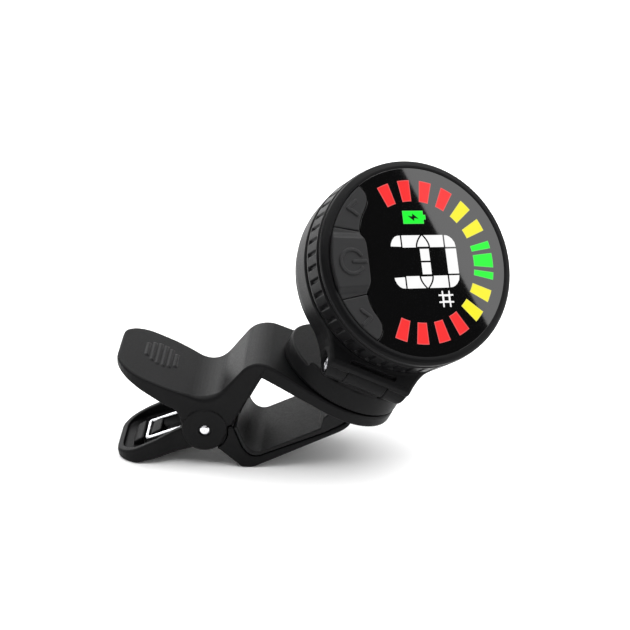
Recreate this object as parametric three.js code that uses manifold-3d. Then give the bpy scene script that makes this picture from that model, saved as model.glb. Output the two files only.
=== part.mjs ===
// Clip-on tuner: a spring clip that carries a swivelling, tilting, rotating display head.
// Units are millimetres, +Z is up. The clip lies on its lower arm, as it does on a table.
// X runs along the clip: thumb levers at -X, jaws at +X. Y runs along the clip's pivot pin.
import * as THREE from 'three';
import { mergeVertices } from 'three/addons/utils/BufferGeometryUtils.js';
import Module from 'manifold-3d';

const wasm = await Module();
wasm.setup();

// ---------------------------------------------------------------- driving dimensions
const ORIGIN_X = 19.691;        // pivot pin to the middle of the whole object, along X
const ORIGIN_Y = 1.157;         // mid-width of the clip to the middle of the whole object
const PIVOT_Z = 7.95;          // pivot pin axis above the table

const EAR_FACE = 9.0;          // half width over the two pivot ears
const EAR_IN = 8.0;            // half width between the ears
const BOSS_R = 4.15;           // round end of each ear
const THUMB_HALF = 10.0;       // half width of the upper thumb lever
const LEVER_HALF = 7.7;        // half width of the lower thumb lever, which passes between the ears
const FLARE_HALF = 8.6;        // half width of its thumb end
const JAW_HALF = 9.0;          // half width of the lower jaw
const PIN_R = 1.05;            // pivot pin
const PIN_BORE = 1.3;          // its holes
const WIRE_R = 0.4;            // torsion spring wire
const COIL_R = 2.0;            // torsion spring mean coil radius

const SWIVEL_X = 25.35;        // swivel axis where it crosses the platform's top face
const SWIVEL_Z = 7.31;         //   (height above the pivot pin)
const PLATFORM_SLOPE = 27.7;   // degrees, platform's fall towards +X
const PLATFORM_R = 12.1;
const PLATFORM_T = 2.45;
const SWIVEL_GAP = 0.3;

const SWIVEL_ANGLE = 8.5;      // degrees, how far the turntable is turned on the platform
const BASE_TOP = 3.6;          // turntable's rear top face above the platform
const HINGE_OFF = 11.06;       // tilt hinge axis from the swivel axis
const HINGE_H = 7.34;          // tilt hinge axis above the platform's top face
const BARREL_R = 2.4;
const BARREL_HALF = 7.95;
const KNUCKLE_HALF = 3.8;

const TILT = 45.4;             // degrees, display normal above the platform's plane
const HEAD_UP = 20.98;         // hinge axis to the display's centre, in the display's plane
const HEAD_OUT = 11.05;        // hinge axis to the glass face, square to the display
const DISPLAY_TURN = 23.7;     // degrees, display's own up direction from the hinge line

const GLASS_R = 17.76;
const RIM_R = 19.42;
const KNURL_R = 19.5;
const KNURL_N = 48;
const KNURL_BACK = 7.17;
const COLLAR_FRONT = 7.47;
const COLLAR_BACK = 14.32;
const COLLAR_R0 = 19.55, COLLAR_R1 = 18.57, COLLAR_BORE = 16.6;
const HOUSING_R = 16.3;
const BACK_FACE = 15.5;
const KEY_TRAVEL = 0.45;

// ---------------------------------------------------------------- helpers
const D = Math.PI / 180;
const V2 = (x, y) => new THREE.Vector2(x, y);

function toSolid(geometry, matrix) {
  let g = geometry.clone();
  g.deleteAttribute('normal'); g.deleteAttribute('uv');
  g = mergeVertices(g, 1e-5);
  if (matrix) g.applyMatrix4(matrix);
  const pos = Float32Array.from(g.attributes.position.array);
  const idx = Uint32Array.from(g.index.array);
  if (matrix && matrix.determinant() < 0) {
    for (let i = 0; i < idx.length; i += 3) { const t = idx[i]; idx[i] = idx[i + 1]; idx[i + 1] = t; }
  }
  return new wasm.Manifold(new wasm.Mesh({ numProp: 3, vertProperties: pos, triVerts: idx }));
}

// a closed outline as a prism: the outline lies in the frame's x-y plane, from z0 to z1
function prism(points, z0, z1, matrix) {
  const shape = new THREE.Shape(points.map(p => V2(p[0], p[1])));
  const g = new THREE.ExtrudeGeometry(shape, { depth: z1 - z0, bevelEnabled: false, steps: 1 });
  g.translate(0, 0, z0);
  return toSolid(g, matrix);
}
const circle = (r, n, cx = 0, cy = 0, a0 = 0) => Array.from({ length: n }, (_, i) => {
  const a = a0 + i / n * 2 * Math.PI; return [cx + r * Math.cos(a), cy + r * Math.sin(a)];
});
const cyl = (r, z0, z1, n, matrix, cx = 0, cy = 0) => prism(circle(r, n, cx, cy), z0, z1, matrix);
function box(x0, x1, y0, y1, z0, z1, matrix) {
  const g = new THREE.BoxGeometry(x1 - x0, y1 - y0, z1 - z0);
  g.translate((x0 + x1) / 2, (y0 + y1) / 2, (z0 + z1) / 2);
  return toSolid(g, matrix);
}
// a turned piece: outline of [radius, z] pairs, closed on itself
function turned(points, n, matrix) {
  const pts = points.map(p => V2(p[0], p[1]));
  pts.push(pts[0].clone());
  let area = 0;
  for (let i = 0; i < pts.length - 1; i++) area += pts[i].x * pts[i + 1].y - pts[i + 1].x * pts[i].y;
  if (area < 0) pts.reverse();
  const g = new THREE.LatheGeometry(pts, n);
  g.rotateX(Math.PI / 2);
  // the lathe's axis is y and its faces turn the other way once laid along z
  let s = mergeVertices((() => { const q = g.clone(); q.deleteAttribute('normal'); q.deleteAttribute('uv'); return q; })(), 1e-4);
  const pos = Float32Array.from(s.attributes.position.array);
  const src = s.index.array, keep = [];
  for (let i = 0; i < src.length; i += 3) {
    if (src[i] !== src[i + 1] && src[i + 1] !== src[i + 2] && src[i] !== src[i + 2]) keep.push(src[i], src[i + 1], src[i + 2]);
  }
  let m = new wasm.Manifold(new wasm.Mesh({ numProp: 3, vertProperties: pos, triVerts: Uint32Array.from(keep) }));
  if (m.volume() < 0) {
    for (let i = 0; i < keep.length; i += 3) { const t = keep[i]; keep[i] = keep[i + 1]; keep[i + 1] = t; }
    m = new wasm.Manifold(new wasm.Mesh({ numProp: 3, vertProperties: pos, triVerts: Uint32Array.from(keep) }));
  }
  if (matrix) {
    const b = new THREE.BufferGeometry();
    const mm = m.getMesh();
    b.setAttribute('position', new THREE.BufferAttribute(Float32Array.from(mm.vertProperties), 3));
    b.setIndex(Array.from(mm.triVerts));
    return toSolid(b, matrix);
  }
  return m;
}
// a solid through a stack of matching outlines: sections are [z, points], z rising
function loft(sections) {
  const n = sections[0][1].length, v = [], t = [];
  for (const [z, pts] of sections) for (const [x, y] of pts) v.push(x, y, z);
  for (let k = 0; k + 1 < sections.length; k++) for (let i = 0; i < n; i++) {
    const j = (i + 1) % n, a = k * n + i, b = k * n + j, c = a + n, d = b + n;
    t.push(a, b, d, a, d, c);
  }
  const cap = THREE.ShapeUtils.triangulateShape(sections[0][1].map(p => V2(...p)), []), top = (sections.length - 1) * n;
  for (const [a, b, c] of cap) { t.push(c, b, a); t.push(top + a, top + b, top + c); }
  return new wasm.Manifold(new wasm.Mesh({ numProp: 3, vertProperties: Float32Array.from(v), triVerts: Uint32Array.from(t) }));
}
// rounds the corners of an outline: each point is [x, y, radius, steps]
function rounded(points) {
  const out = [], n = points.length;
  for (let i = 0; i < n; i++) {
    const [x, y, r = 0, steps = 4] = points[i];
    if (!r) { out.push([x, y]); continue; }
    const p = V2(x, y), a = V2(...points[(i + n - 1) % n].slice(0, 2)), b = V2(...points[(i + 1) % n].slice(0, 2));
    const da = a.clone().sub(p).normalize(), db = b.clone().sub(p).normalize();
    const ang = Math.acos(Math.max(-1, Math.min(1, da.dot(db))));
    const t = r / Math.tan(ang / 2);
    const bis = da.clone().add(db).normalize(), c = p.clone().addScaledVector(bis, r / Math.sin(ang / 2));
    const p0 = p.clone().addScaledVector(da, t), p1 = p.clone().addScaledVector(db, t);
    let a0 = Math.atan2(p0.y - c.y, p0.x - c.x), a1 = Math.atan2(p1.y - c.y, p1.x - c.x);
    let d = a1 - a0; while (d > Math.PI) d -= 2 * Math.PI; while (d < -Math.PI) d += 2 * Math.PI;
    for (let k = 0; k <= steps; k++) out.push([c.x + r * Math.cos(a0 + d * k / steps), c.y + r * Math.sin(a0 + d * k / steps)]);
  }
  return out;
}
// frame for outlines drawn in the X-Z plane: local x -> X, local y -> Z, local z -> -Y
const SIDE = new THREE.Matrix4().makeBasis(new THREE.Vector3(1, 0, 0), new THREE.Vector3(0, 0, 1), new THREE.Vector3(0, -1, 0));
const sidePrism = (points, y0, y1) => prism(points, -y1, -y0, SIDE);
const sideCyl = (r, y0, y1, n, x = 0, z = 0) => sidePrism(circle(r, n, x, z), y0, y1);
const both = (f) => f(1).add(f(-1));
function union(...solids) { return solids.reduce((a, b) => a.add(b)); }

// a wire swept along a smooth path
function wire(points, radius, steps, sides = 6, tension = 0.5) {
  const path = new THREE.CatmullRomCurve3(points.map(p => new THREE.Vector3(...p)), false, 'catmullrom', tension);
  const shape = new THREE.Shape(circle(radius, sides).map(p => V2(...p)));
  const g = new THREE.ExtrudeGeometry(shape, { steps, extrudePath: path, bevelEnabled: false });
  return toSolid(g);
}

const group = new THREE.Group();
group.position.set(-ORIGIN_X, -ORIGIN_Y, 0);
const clip = new THREE.Group();               // frame on the pivot pin
clip.position.set(0, 0, PIVOT_Z);
group.add(clip);
const swivel = new THREE.Group();             // frame on the platform's top face: x along the hinge, z up the swivel axis
{
  const a = PLATFORM_SLOPE * D, s = SWIVEL_ANGLE * D;
  const m = new THREE.Vector3(Math.sin(a), 0, Math.cos(a));
  const tx = new THREE.Vector3(Math.cos(a), 0, -Math.sin(a)), ty = new THREE.Vector3(0, 1, 0);
  const h = tx.clone().multiplyScalar(Math.cos(s)).addScaledVector(ty, Math.sin(s));
  const back = new THREE.Vector3().crossVectors(m, h);
  const M = new THREE.Matrix4().makeBasis(h, back, m);
  swivel.quaternion.setFromRotationMatrix(M);
  swivel.position.set(SWIVEL_X, 0, SWIVEL_Z);
}
clip.add(swivel);
const head = new THREE.Group();               // frame on the glass: x along the hinge, y up the head, z out of the glass
{
  const t = TILT * D;
  // display normal between the front (-y of the turntable) and the swivel axis
  const nrm = new THREE.Vector3(0, -Math.cos(t), Math.sin(t)), up = new THREE.Vector3(0, Math.sin(t), Math.cos(t));
  const M = new THREE.Matrix4().makeBasis(new THREE.Vector3(1, 0, 0), up, nrm);
  head.quaternion.setFromRotationMatrix(M);
  head.position.set(0, -HINGE_OFF, HINGE_H).addScaledVector(up, HEAD_UP).addScaledVector(nrm, HEAD_OUT);
}
swivel.add(head);
const face = new THREE.Group();               // the display's own frame: y is the display's up
face.rotation.z = (DISPLAY_TURN - 90) * D;
head.add(face);

function node(name, solid, color, roughness, metalness, parent) {
  const mm = solid.getMesh();
  const g0 = new THREE.BufferGeometry();
  g0.setAttribute('position', new THREE.BufferAttribute(Float32Array.from(mm.vertProperties), 3));
  g0.setIndex(Array.from(mm.triVerts));
  const mesh = new THREE.Mesh(g0, new THREE.MeshStandardMaterial({ color, roughness, metalness, flatShading: true }));
  mesh.name = name;
  parent.add(mesh);
  return mesh;
}
const PLASTIC = [0x1c1c1e, 0.55, 0.0], RUBBER = [0x202022, 0.8, 0.0], CHROME = [0xd8d8dc, 0.15, 1.0], STEEL = [0xb9bcc0, 0.3, 1.0];

// ---------------------------------------------------------------- platform outline, in the platform's own plane
// s runs down the jaw from the swivel axis, w across it
const PS = -17.2, PLATE_START = -13.0;
const platformOutline = [];
for (let i = 0; i <= 8; i++) {
  const t = 1 - PLATE_START / PS * (1 - i / 8), f = (t * t * t - 2 * t * t + t) * 0.6 + (3 * t * t - 2 * t * t * t);
  platformOutline.push([PS * (1 - t), -(JAW_HALF + (PLATFORM_R - JAW_HALF) * f)]);
}
for (let i = 1; i < 24; i++) { const a = -Math.PI / 2 + Math.PI * i / 24; platformOutline.push([PLATFORM_R * Math.cos(a), PLATFORM_R * Math.sin(a)]); }
for (let i = 8; i >= 0; i--) platformOutline.push([platformOutline[i][0], -platformOutline[i][1]]);
const PLAT = (() => {
  const a = PLATFORM_SLOPE * D;
  return new THREE.Matrix4().makeBasis(new THREE.Vector3(Math.cos(a), 0, -Math.sin(a)), new THREE.Vector3(0, 1, 0), new THREE.Vector3(Math.sin(a), 0, Math.cos(a)))
    .setPosition(SWIVEL_X, 0, SWIVEL_Z);
})();

// ---------------------------------------------------------------- upper arm
// outline without roundings at its ends: thumb lever, valley, rise, peak, start of the jaw, window side, ear
const upperSide = rounded([
  [-16.8, 13.88, 0.45, 2], [1.36, 5.63, 5.2, 6], [9.63, 15.56, 4.6, 6], [14.0, 13.24],
  [14.0, 10.02], [10.75, 11.62, 0.6, 2], [6.95, 3.9], [6.25, 3.25], [5.85, 1.6], [5.15, 0.5],
  [4.5, -1.3], [3.75, -2.85], [2.9, -3.65],
  ...Array.from({ length: 9 }, (_, i) => { const a = (-62 - i * 14.5) * D; return [BOSS_R * Math.cos(a), BOSS_R * Math.sin(a)]; }),
  [-4.43, 1.75], [-4.75, 3.0], [-5.5, 4.55], [-7.3, 5.65], [-10.4, 7.8], [-13.0, 9.55], [-16.85, 11.95, 0.4, 2],
]);
const upperPlan = rounded([
  [-16.75, -THUMB_HALF, 6.3, 7], [-7.0, -THUMB_HALF], [-2.5, -9.3], [2.0, -EAR_FACE], [10.1, -EAR_FACE], [11.6, -9.23], [13.0, -9.52], [14.2, -9.8],
  [14.2, 9.8], [13.0, 9.52], [11.6, 9.23], [10.1, EAR_FACE], [2.0, EAR_FACE], [-2.5, 9.3], [-7.0, THUMB_HALF], [-16.75, THUMB_HALF, 6.3, 7],
]);
const upperHollowPlan = rounded([
  [-15.35, -8.5, 5.2, 5], [-7.0, -8.5], [-5.2, -EAR_IN], [12, -EAR_IN], [12, EAR_IN], [-5.2, EAR_IN], [-7.0, 8.5], [-15.35, 8.5, 5.2, 5],
]);
const upperHollow = [
  [-15.6, 11.7], [-1.9, 5.3], [-0.1, 4.8], [1.3, 5.25], [6.7, 9.4], [7.3, 9.4], [4.95, 4.3], [8.0, 3.3], [8.0, -7], [-7, -7], [-9, 3], [-15.6, 6],
];
let upperArm = sidePrism(upperSide, -12, 12).intersect(prism(upperPlan, -12, 24));
const jawPlate = prism(platformOutline, -PLATFORM_T, 0, PLAT);
// the jaw is a little deeper near the peak
const jawRoot = sidePrism([[13.4, 13.3], [20.0, 9.9], [20.0, 7.4], [10.75, 11.62]], -JAW_HALF, JAW_HALF);
upperArm = upperArm.add(jawPlate).add(jawRoot);
upperArm = upperArm.subtract(sidePrism(upperHollow, -12, 12).intersect(prism(upperHollowPlan, -12, 24)));
// recess for the grip pad, on the window side of the rise and under the jaw
upperArm = upperArm.subtract(sidePrism([[8.0, 5.9], [11.9, 9.6], [24.0, 3.4], [24.9, 5.75], [11.2, 12.25], [9.85, 12.0], [7.1, 6.3]], -7.7, 7.7));
upperArm = upperArm.subtract(sideCyl(PIN_BORE, -12, 12, 16));
upperArm = upperArm.subtract(cyl(1.5, -6, 2, 16, PLAT)).subtract(cyl(2.9, -6, -PLATFORM_T + 1.15, 24, PLAT));
node('upper_arm', upperArm, ...PLASTIC, clip);

// grip pad of the upper jaw: follows the V, stands 0.35 mm proud of the arm
const upperPad = sidePrism(rounded([
  [7.35, 6.5, 0.2, 2], [10.0, 11.78, 0.5, 3], [11.15, 12.03, 0.3, 2], [24.45, 5.62, 0.2, 2], [24.0, 4.5, 0.4, 2], [11.0, 10.75, 0.4, 3], [8.4, 6.0, 0.3, 2],
]), -7.5, 7.5).subtract(cyl(3.1, -6, -PLATFORM_T + 0.85, 24, PLAT));
node('upper_jaw_pad', upperPad, ...RUBBER, clip);

// ---------------------------------------------------------------- lower arm
const leverSide = rounded([
  [-17.7, -6.75, 0.25, 2], [-14.0, -5.15], [-4.5, -0.42], [-2.6, 1.9], [0, 3.4], [2.6, 1.9], [3.4, 0], [3.4, -3.9], [-0.3, -3.95],
  [-1.6, -4.35], [-13.2, -PIVOT_Z, 1.5, 3], [-17.1, -PIVOT_Z, 0.3, 2],
]);
const leverPlan = rounded([
  [-17.7, -FLARE_HALF, 5.4, 6], [-9.6, -FLARE_HALF], [-6.2, -LEVER_HALF], [4.2, -LEVER_HALF], [4.2, LEVER_HALF], [-6.2, LEVER_HALF], [-9.6, FLARE_HALF], [-17.7, FLARE_HALF, 5.4, 6],
]);
const trayPlan = rounded([
  [-16.4, -7.3, 4.2, 5], [-9.6, -7.3], [-6.2, -6.4], [3.0, -6.4], [3.0, 6.4], [-6.2, 6.4], [-9.6, 7.3], [-16.4, 7.3, 4.2, 5],
]);
const traySide = [[-16.9, -6.9], [-13.4, -6.85], [-1.7, -3.2], [-0.5, -2.8], [2.9, -2.8], [2.9, 6], [-16.9, 6]];
let lowerArm = sidePrism(leverSide, -12, 12).intersect(prism(leverPlan, -12, 12));
lowerArm = lowerArm.subtract(sidePrism(traySide, -12, 12).intersect(prism(trayPlan, -12, 12)));
// two ribs that seat the spring's cross wire
const ribs = union(
  sidePrism([[-14.5, -7.3], [-12.6, -6.88], [-12.6, -5.28], [-12.9, -5.08], [-14.2, -5.88], [-14.5, -6.18]], -3.4, 3.4),
  sidePrism([[-11.1, -6.68], [-9.1, -5.98], [-9.1, -3.88], [-9.4, -3.68], [-10.8, -4.48], [-11.1, -4.78]], -2.5, 2.5),
);
lowerArm = lowerArm.add(ribs);
// V bend and jaw, full width
const jawSide = rounded([
  [4.2, 0.62], [5.45, 0.72, 0.3, 2], [7.05, -3.7, 3.0, 3], [9.0, -6.05, 2.2, 5], [22.6, -0.25], [27.0, 2.2], [27.9, 2.5, 0.25, 2], [28.3, 1.8, 0.3, 2],
  [27.3, 0.95, 0.5, 2], [9.2, -PIVOT_Z, 3.0, 4], [6.9, -PIVOT_Z, 1.2, 3], [2.95, -4.35], [2.2, -3.95], [2.0, -2.9], [2.9, -1.0], [3.3, 0.5],
]);
const jawPlan = rounded([
  [2.0, -JAW_HALF], [28.3, -JAW_HALF, 3.0, 5], [28.3, JAW_HALF, 3.0, 5], [2.0, JAW_HALF],
]);
let jaw = sidePrism(jawSide, -12, 12).intersect(prism(jawPlan, -12, 12));
jaw = jaw.subtract(both(s => sideCyl(4.5, s > 0 ? LEVER_HALF : -12, s > 0 ? 12 : -LEVER_HALF, 48)));
// room for the ears' lower corners
jaw = jaw.subtract(both(s => sidePrism([[2.0, -4.0], [3.1, -3.95], [4.1, -3.0], [4.85, -1.35], [5.5, 0.55], [5.5, 3], [2, 3]], s > 0 ? LEVER_HALF : -12, s > 0 ? 12 : -LEVER_HALF)));
jaw = jaw.subtract(sideCyl(2.8, -6.4, 6.4, 24));
lowerArm = lowerArm.add(jaw).subtract(sideCyl(PIN_BORE, -12, 12, 16));
node('lower_arm', lowerArm, ...PLASTIC, clip);

// grip pad of the lower jaw, with the raised bump at its tip
const lowerPad = sidePrism(rounded([
  [6.2, 0.85, 0.2, 2], [7.75, -3.1, 4.0, 3], [9.5, -5.05, 2.4, 5], [22.0, 0.85, 0.5, 2], [22.55, 3.1, 0.6, 2], [23.9, 4.35, 0.5, 2], [27.3, 2.75, 0.1, 2],
  [27.0, 2.42], [22.55, -0.03], [9.0, -5.83, 2.2, 5], [7.2, -3.6, 3.0, 3], [5.6, 0.75],
]), -JAW_HALF, JAW_HALF).intersect(prism(rounded([[2.0, -JAW_HALF], [28.1, -JAW_HALF, 3.0, 5], [28.1, JAW_HALF, 3.0, 5], [2.0, JAW_HALF]]), -12, 12));
node('lower_jaw_pad', lowerPad, ...RUBBER, clip);

// pivot pin with slightly domed ends
const pin = sidePrism(circle(PIN_R, 20), -9.05, 9.05).add(both(s => s > 0 ? sideCyl(0.85, 9.0, 9.2, 16) : sideCyl(0.85, -9.2, -9.0, 16)));
node('pivot_pin', pin, ...CHROME, clip);

// double torsion spring: leg on the upper lever, coil, U in the lower tray, coil, leg on the upper lever
{
  const pts = [];
  const legUp = (y) => [[-9.6, y, 7.4], [-6.2, y, 4.7]];
  // near side: from the tip of the upper leg into the coil
  pts.push(...legUp(-5.75));
  const sweep = (y0, y1, from, to) => {
    const k = Math.ceil(Math.abs(to - from) / (Math.PI / 5));
    for (let i = 0; i <= k; i++) { const a = from + (to - from) * i / k; pts.push([COIL_R * Math.cos(a), y0 + (y1 - y0) * i / k, COIL_R * Math.sin(a)]); }
  };
  // the wire winds clockwise from the upper leg (135 deg) round to the lower leg (-65 deg)
  sweep(-5.6, -3.7, 140 * D, (-75 - 360) * D);
  pts.push([-5.0, -3.4, -2.75], [-10.5, -3.35, -4.83], [-11.65, -3.2, -5.23], [-11.85, -2.4, -5.33], [-11.85, 0, -5.33], [-11.85, 2.4, -5.33], [-11.65, 3.2, -5.23], [-10.5, 3.35, -4.83], [-5.0, 3.4, -2.75]);
  sweep(3.7, 5.6, (-75 - 360) * D, 140 * D);
  pts.push(...legUp(5.75).reverse());
  node('torsion_spring', wire(pts, WIRE_R, 116, 6), ...CHROME, clip);
}

// ---------------------------------------------------------------- swivel
const ALONG_X = new THREE.Matrix4().makeBasis(new THREE.Vector3(0, 1, 0), new THREE.Vector3(0, 0, 1), new THREE.Vector3(1, 0, 0));
const hingePrism = (points, x0, x1) => prism(points, x0, x1, ALONG_X);   // outline in the y-z plane
const hingeCyl = (r, x0, x1, n) => hingePrism(circle(r, n, -HINGE_OFF, HINGE_H), x0, x1);
{
  let base = turned([[0, SWIVEL_GAP], [PLATFORM_R - 0.35, SWIVEL_GAP], [PLATFORM_R, SWIVEL_GAP + 0.35], [PLATFORM_R, BASE_TOP - 0.5], [PLATFORM_R - 0.5, BASE_TOP], [0, BASE_TOP]], 64);
  // raised front block under the hinge
  const block = prism(circle(PLATFORM_R, 64), 1.0, 6.0)
    .intersect(hingePrism([[-7.4, 1.0], [-7.4, 4.3], [-7.7, 4.6], [-13, 4.6], [-13, 1.0]], -13, 13));
  // knuckle and its root
  const root = hingePrism([[-HINGE_OFF + 2.3, 2.0], [-HINGE_OFF + 2.3, HINGE_H], [-HINGE_OFF - 1.6, HINGE_H], [-11.9, 4.7], [-11.4, 2.0]], -KNUCKLE_HALF, KNUCKLE_HALF);
  const knuckle = hingeCyl(BARREL_R, -KNUCKLE_HALF, KNUCKLE_HALF, 28);
  base = base.add(block);
  base = base.subtract(hingeCyl(BARREL_R + 0.35, KNUCKLE_HALF, 13, 28)).subtract(hingeCyl(BARREL_R + 0.35, -13, -KNUCKLE_HALF, 28));
  base = base.add(root).add(knuckle);
  base = base.subtract(hingeCyl(0.95, -KNUCKLE_HALF - 1, KNUCKLE_HALF + 1, 14));
  base = base.subtract(cyl(1.3, -1, 2.4, 16)).subtract(cyl(6.9, -1, 1.1, 32).subtract(cyl(3.6, -1, 1.1, 24)));
  node('swivel_base', base, ...PLASTIC, swivel);
  node('swivel_washer', turned([[3.9, 0.3], [6.6, 0.3], [6.6, 0.8], [3.9, 0.8]], 24), ...STEEL, swivel);
  node('swivel_screw', turned([[0, -2.35], [2.5, -2.35], [2.55, -1.7], [1.05, -1.6], [1.05, 2.1], [0, 2.1]], 20), ...STEEL, swivel);
}

// ---------------------------------------------------------------- yoke: collar, neck and hinge ears, drawn in the head's frame
const HX = (points, x0, x1) => prism(points, x0, x1, ALONG_X);            // outline in the head's y-z plane
{
  const collar = turned([
    [COLLAR_BORE, -COLLAR_FRONT], [COLLAR_R0 - 0.25, -COLLAR_FRONT], [COLLAR_R0, -COLLAR_FRONT - 0.25], [COLLAR_R1 + 0.35, -COLLAR_BACK + 1.6], [COLLAR_R1, -COLLAR_BACK + 0.5],
    [COLLAR_R1 - 0.5, -COLLAR_BACK], [COLLAR_BORE, -COLLAR_BACK],
  ], 60);
  const half = [[12.8, -13.5], [11.75, -15.0], [10.75, -16.3], [9.95, -17.5], [9.35, -18.7], [8.9, -20.0], [8.6, -21.2], [BARREL_HALF, -23.6]];
  const inset = (d) => [...half.map(([x, y]) => [-(x - d), y]), ...half.map(([x, y]) => [x - d, y]).reverse()];
  const by = -HEAD_UP, bz = -HEAD_OUT;
  const profile = [
    [-12.5, -COLLAR_FRONT], [-20.9, -COLLAR_FRONT], [-21.7, -7.75], [-22.2, -8.35],
    ...Array.from({ length: 8 }, (_, i) => { const a = (120 + i * 21.4) * D; return [by + BARREL_R * Math.cos(a), bz + BARREL_R * Math.sin(a)]; }),
    [-19.0, -14.0], [-17.6, -COLLAR_BACK + 0.1], [-12.5, -COLLAR_BACK + 0.1],
  ];
  let neck = loft([[-16, inset(1.05)], [-13.9, inset(0.55)], [-10.2, inset(0.0)], [-8.3, inset(0.05)], [-7.7, inset(0.25)], [-6.6, inset(1.1)]])
    .intersect(HX(profile, -14, 14)).subtract(cyl(COLLAR_BORE + 0.4, -20, 0, 72));
  // room for the knuckle and its root over the whole tilt
  const kh = KNUCKLE_HALF + 0.55;
  const cut = union(
    HX(circle(BARREL_R + 0.3, 28, by, bz), -kh, kh),
    HX([[by - 5, bz], [by + 2.65, bz], [by + 2.65, bz - 6], [by - 5, bz - 6]], -kh, kh),
    HX([[by - 5, bz + 5], [by - 1.15, bz + 5], [by - 1.15, bz - 6], [by - 5, bz - 6]], -kh, kh),
  );
  let yoke = collar.add(neck).subtract(cut);
  // shallow pocket in the neck's front
  yoke = yoke.subtract(prism([[-4.6, -19.75], [4.6, -19.75], [4.9, -20.75], [-4.9, -20.75]], -COLLAR_FRONT - 0.55, -6));
  // screw bores and counterbores in the ears
  yoke = yoke.subtract(HX(circle(0.95, 14, by, bz), -12, 12));
  yoke = yoke.subtract(HX(circle(2.02, 22, by, bz), BARREL_HALF - 1.2, 12)).subtract(HX(circle(2.02, 22, by, bz), -12, -BARREL_HALF + 1.2));
  node('yoke', yoke, ...PLASTIC, head);
  for (const [side, s] of [['left', -1], ['right', 1]]) {
    const M = new THREE.Matrix4().makeBasis(new THREE.Vector3(0, 1, 0), new THREE.Vector3(0, 0, s), new THREE.Vector3(s, 0, 0)).setPosition(0, by, bz);
    const screw = turned([[0, 1.6], [0.68, 1.6], [0.68, BARREL_HALF - 1.05], [1.8, BARREL_HALF - 1.05], [1.8, BARREL_HALF - 0.4], [1.5, BARREL_HALF - 0.12], [0, BARREL_HALF - 0.12]], 20, M)
      .subtract(box(-0.2, 0.2, -0.95, 0.95, BARREL_HALF - 0.7, BARREL_HALF, M)).subtract(box(-0.95, 0.95, -0.2, 0.2, BARREL_HALF - 0.7, BARREL_HALF, M));
    node('hinge_screw_' + side, screw, ...STEEL, head);
    node('hinge_washer_' + side, turned([[0.95, KNUCKLE_HALF + 0.1], [2.2, KNUCKLE_HALF + 0.1], [2.2, KNUCKLE_HALF + 0.4], [0.95, KNUCKLE_HALF + 0.4]], 20, M), ...STEEL, head);
  }
}

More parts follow.
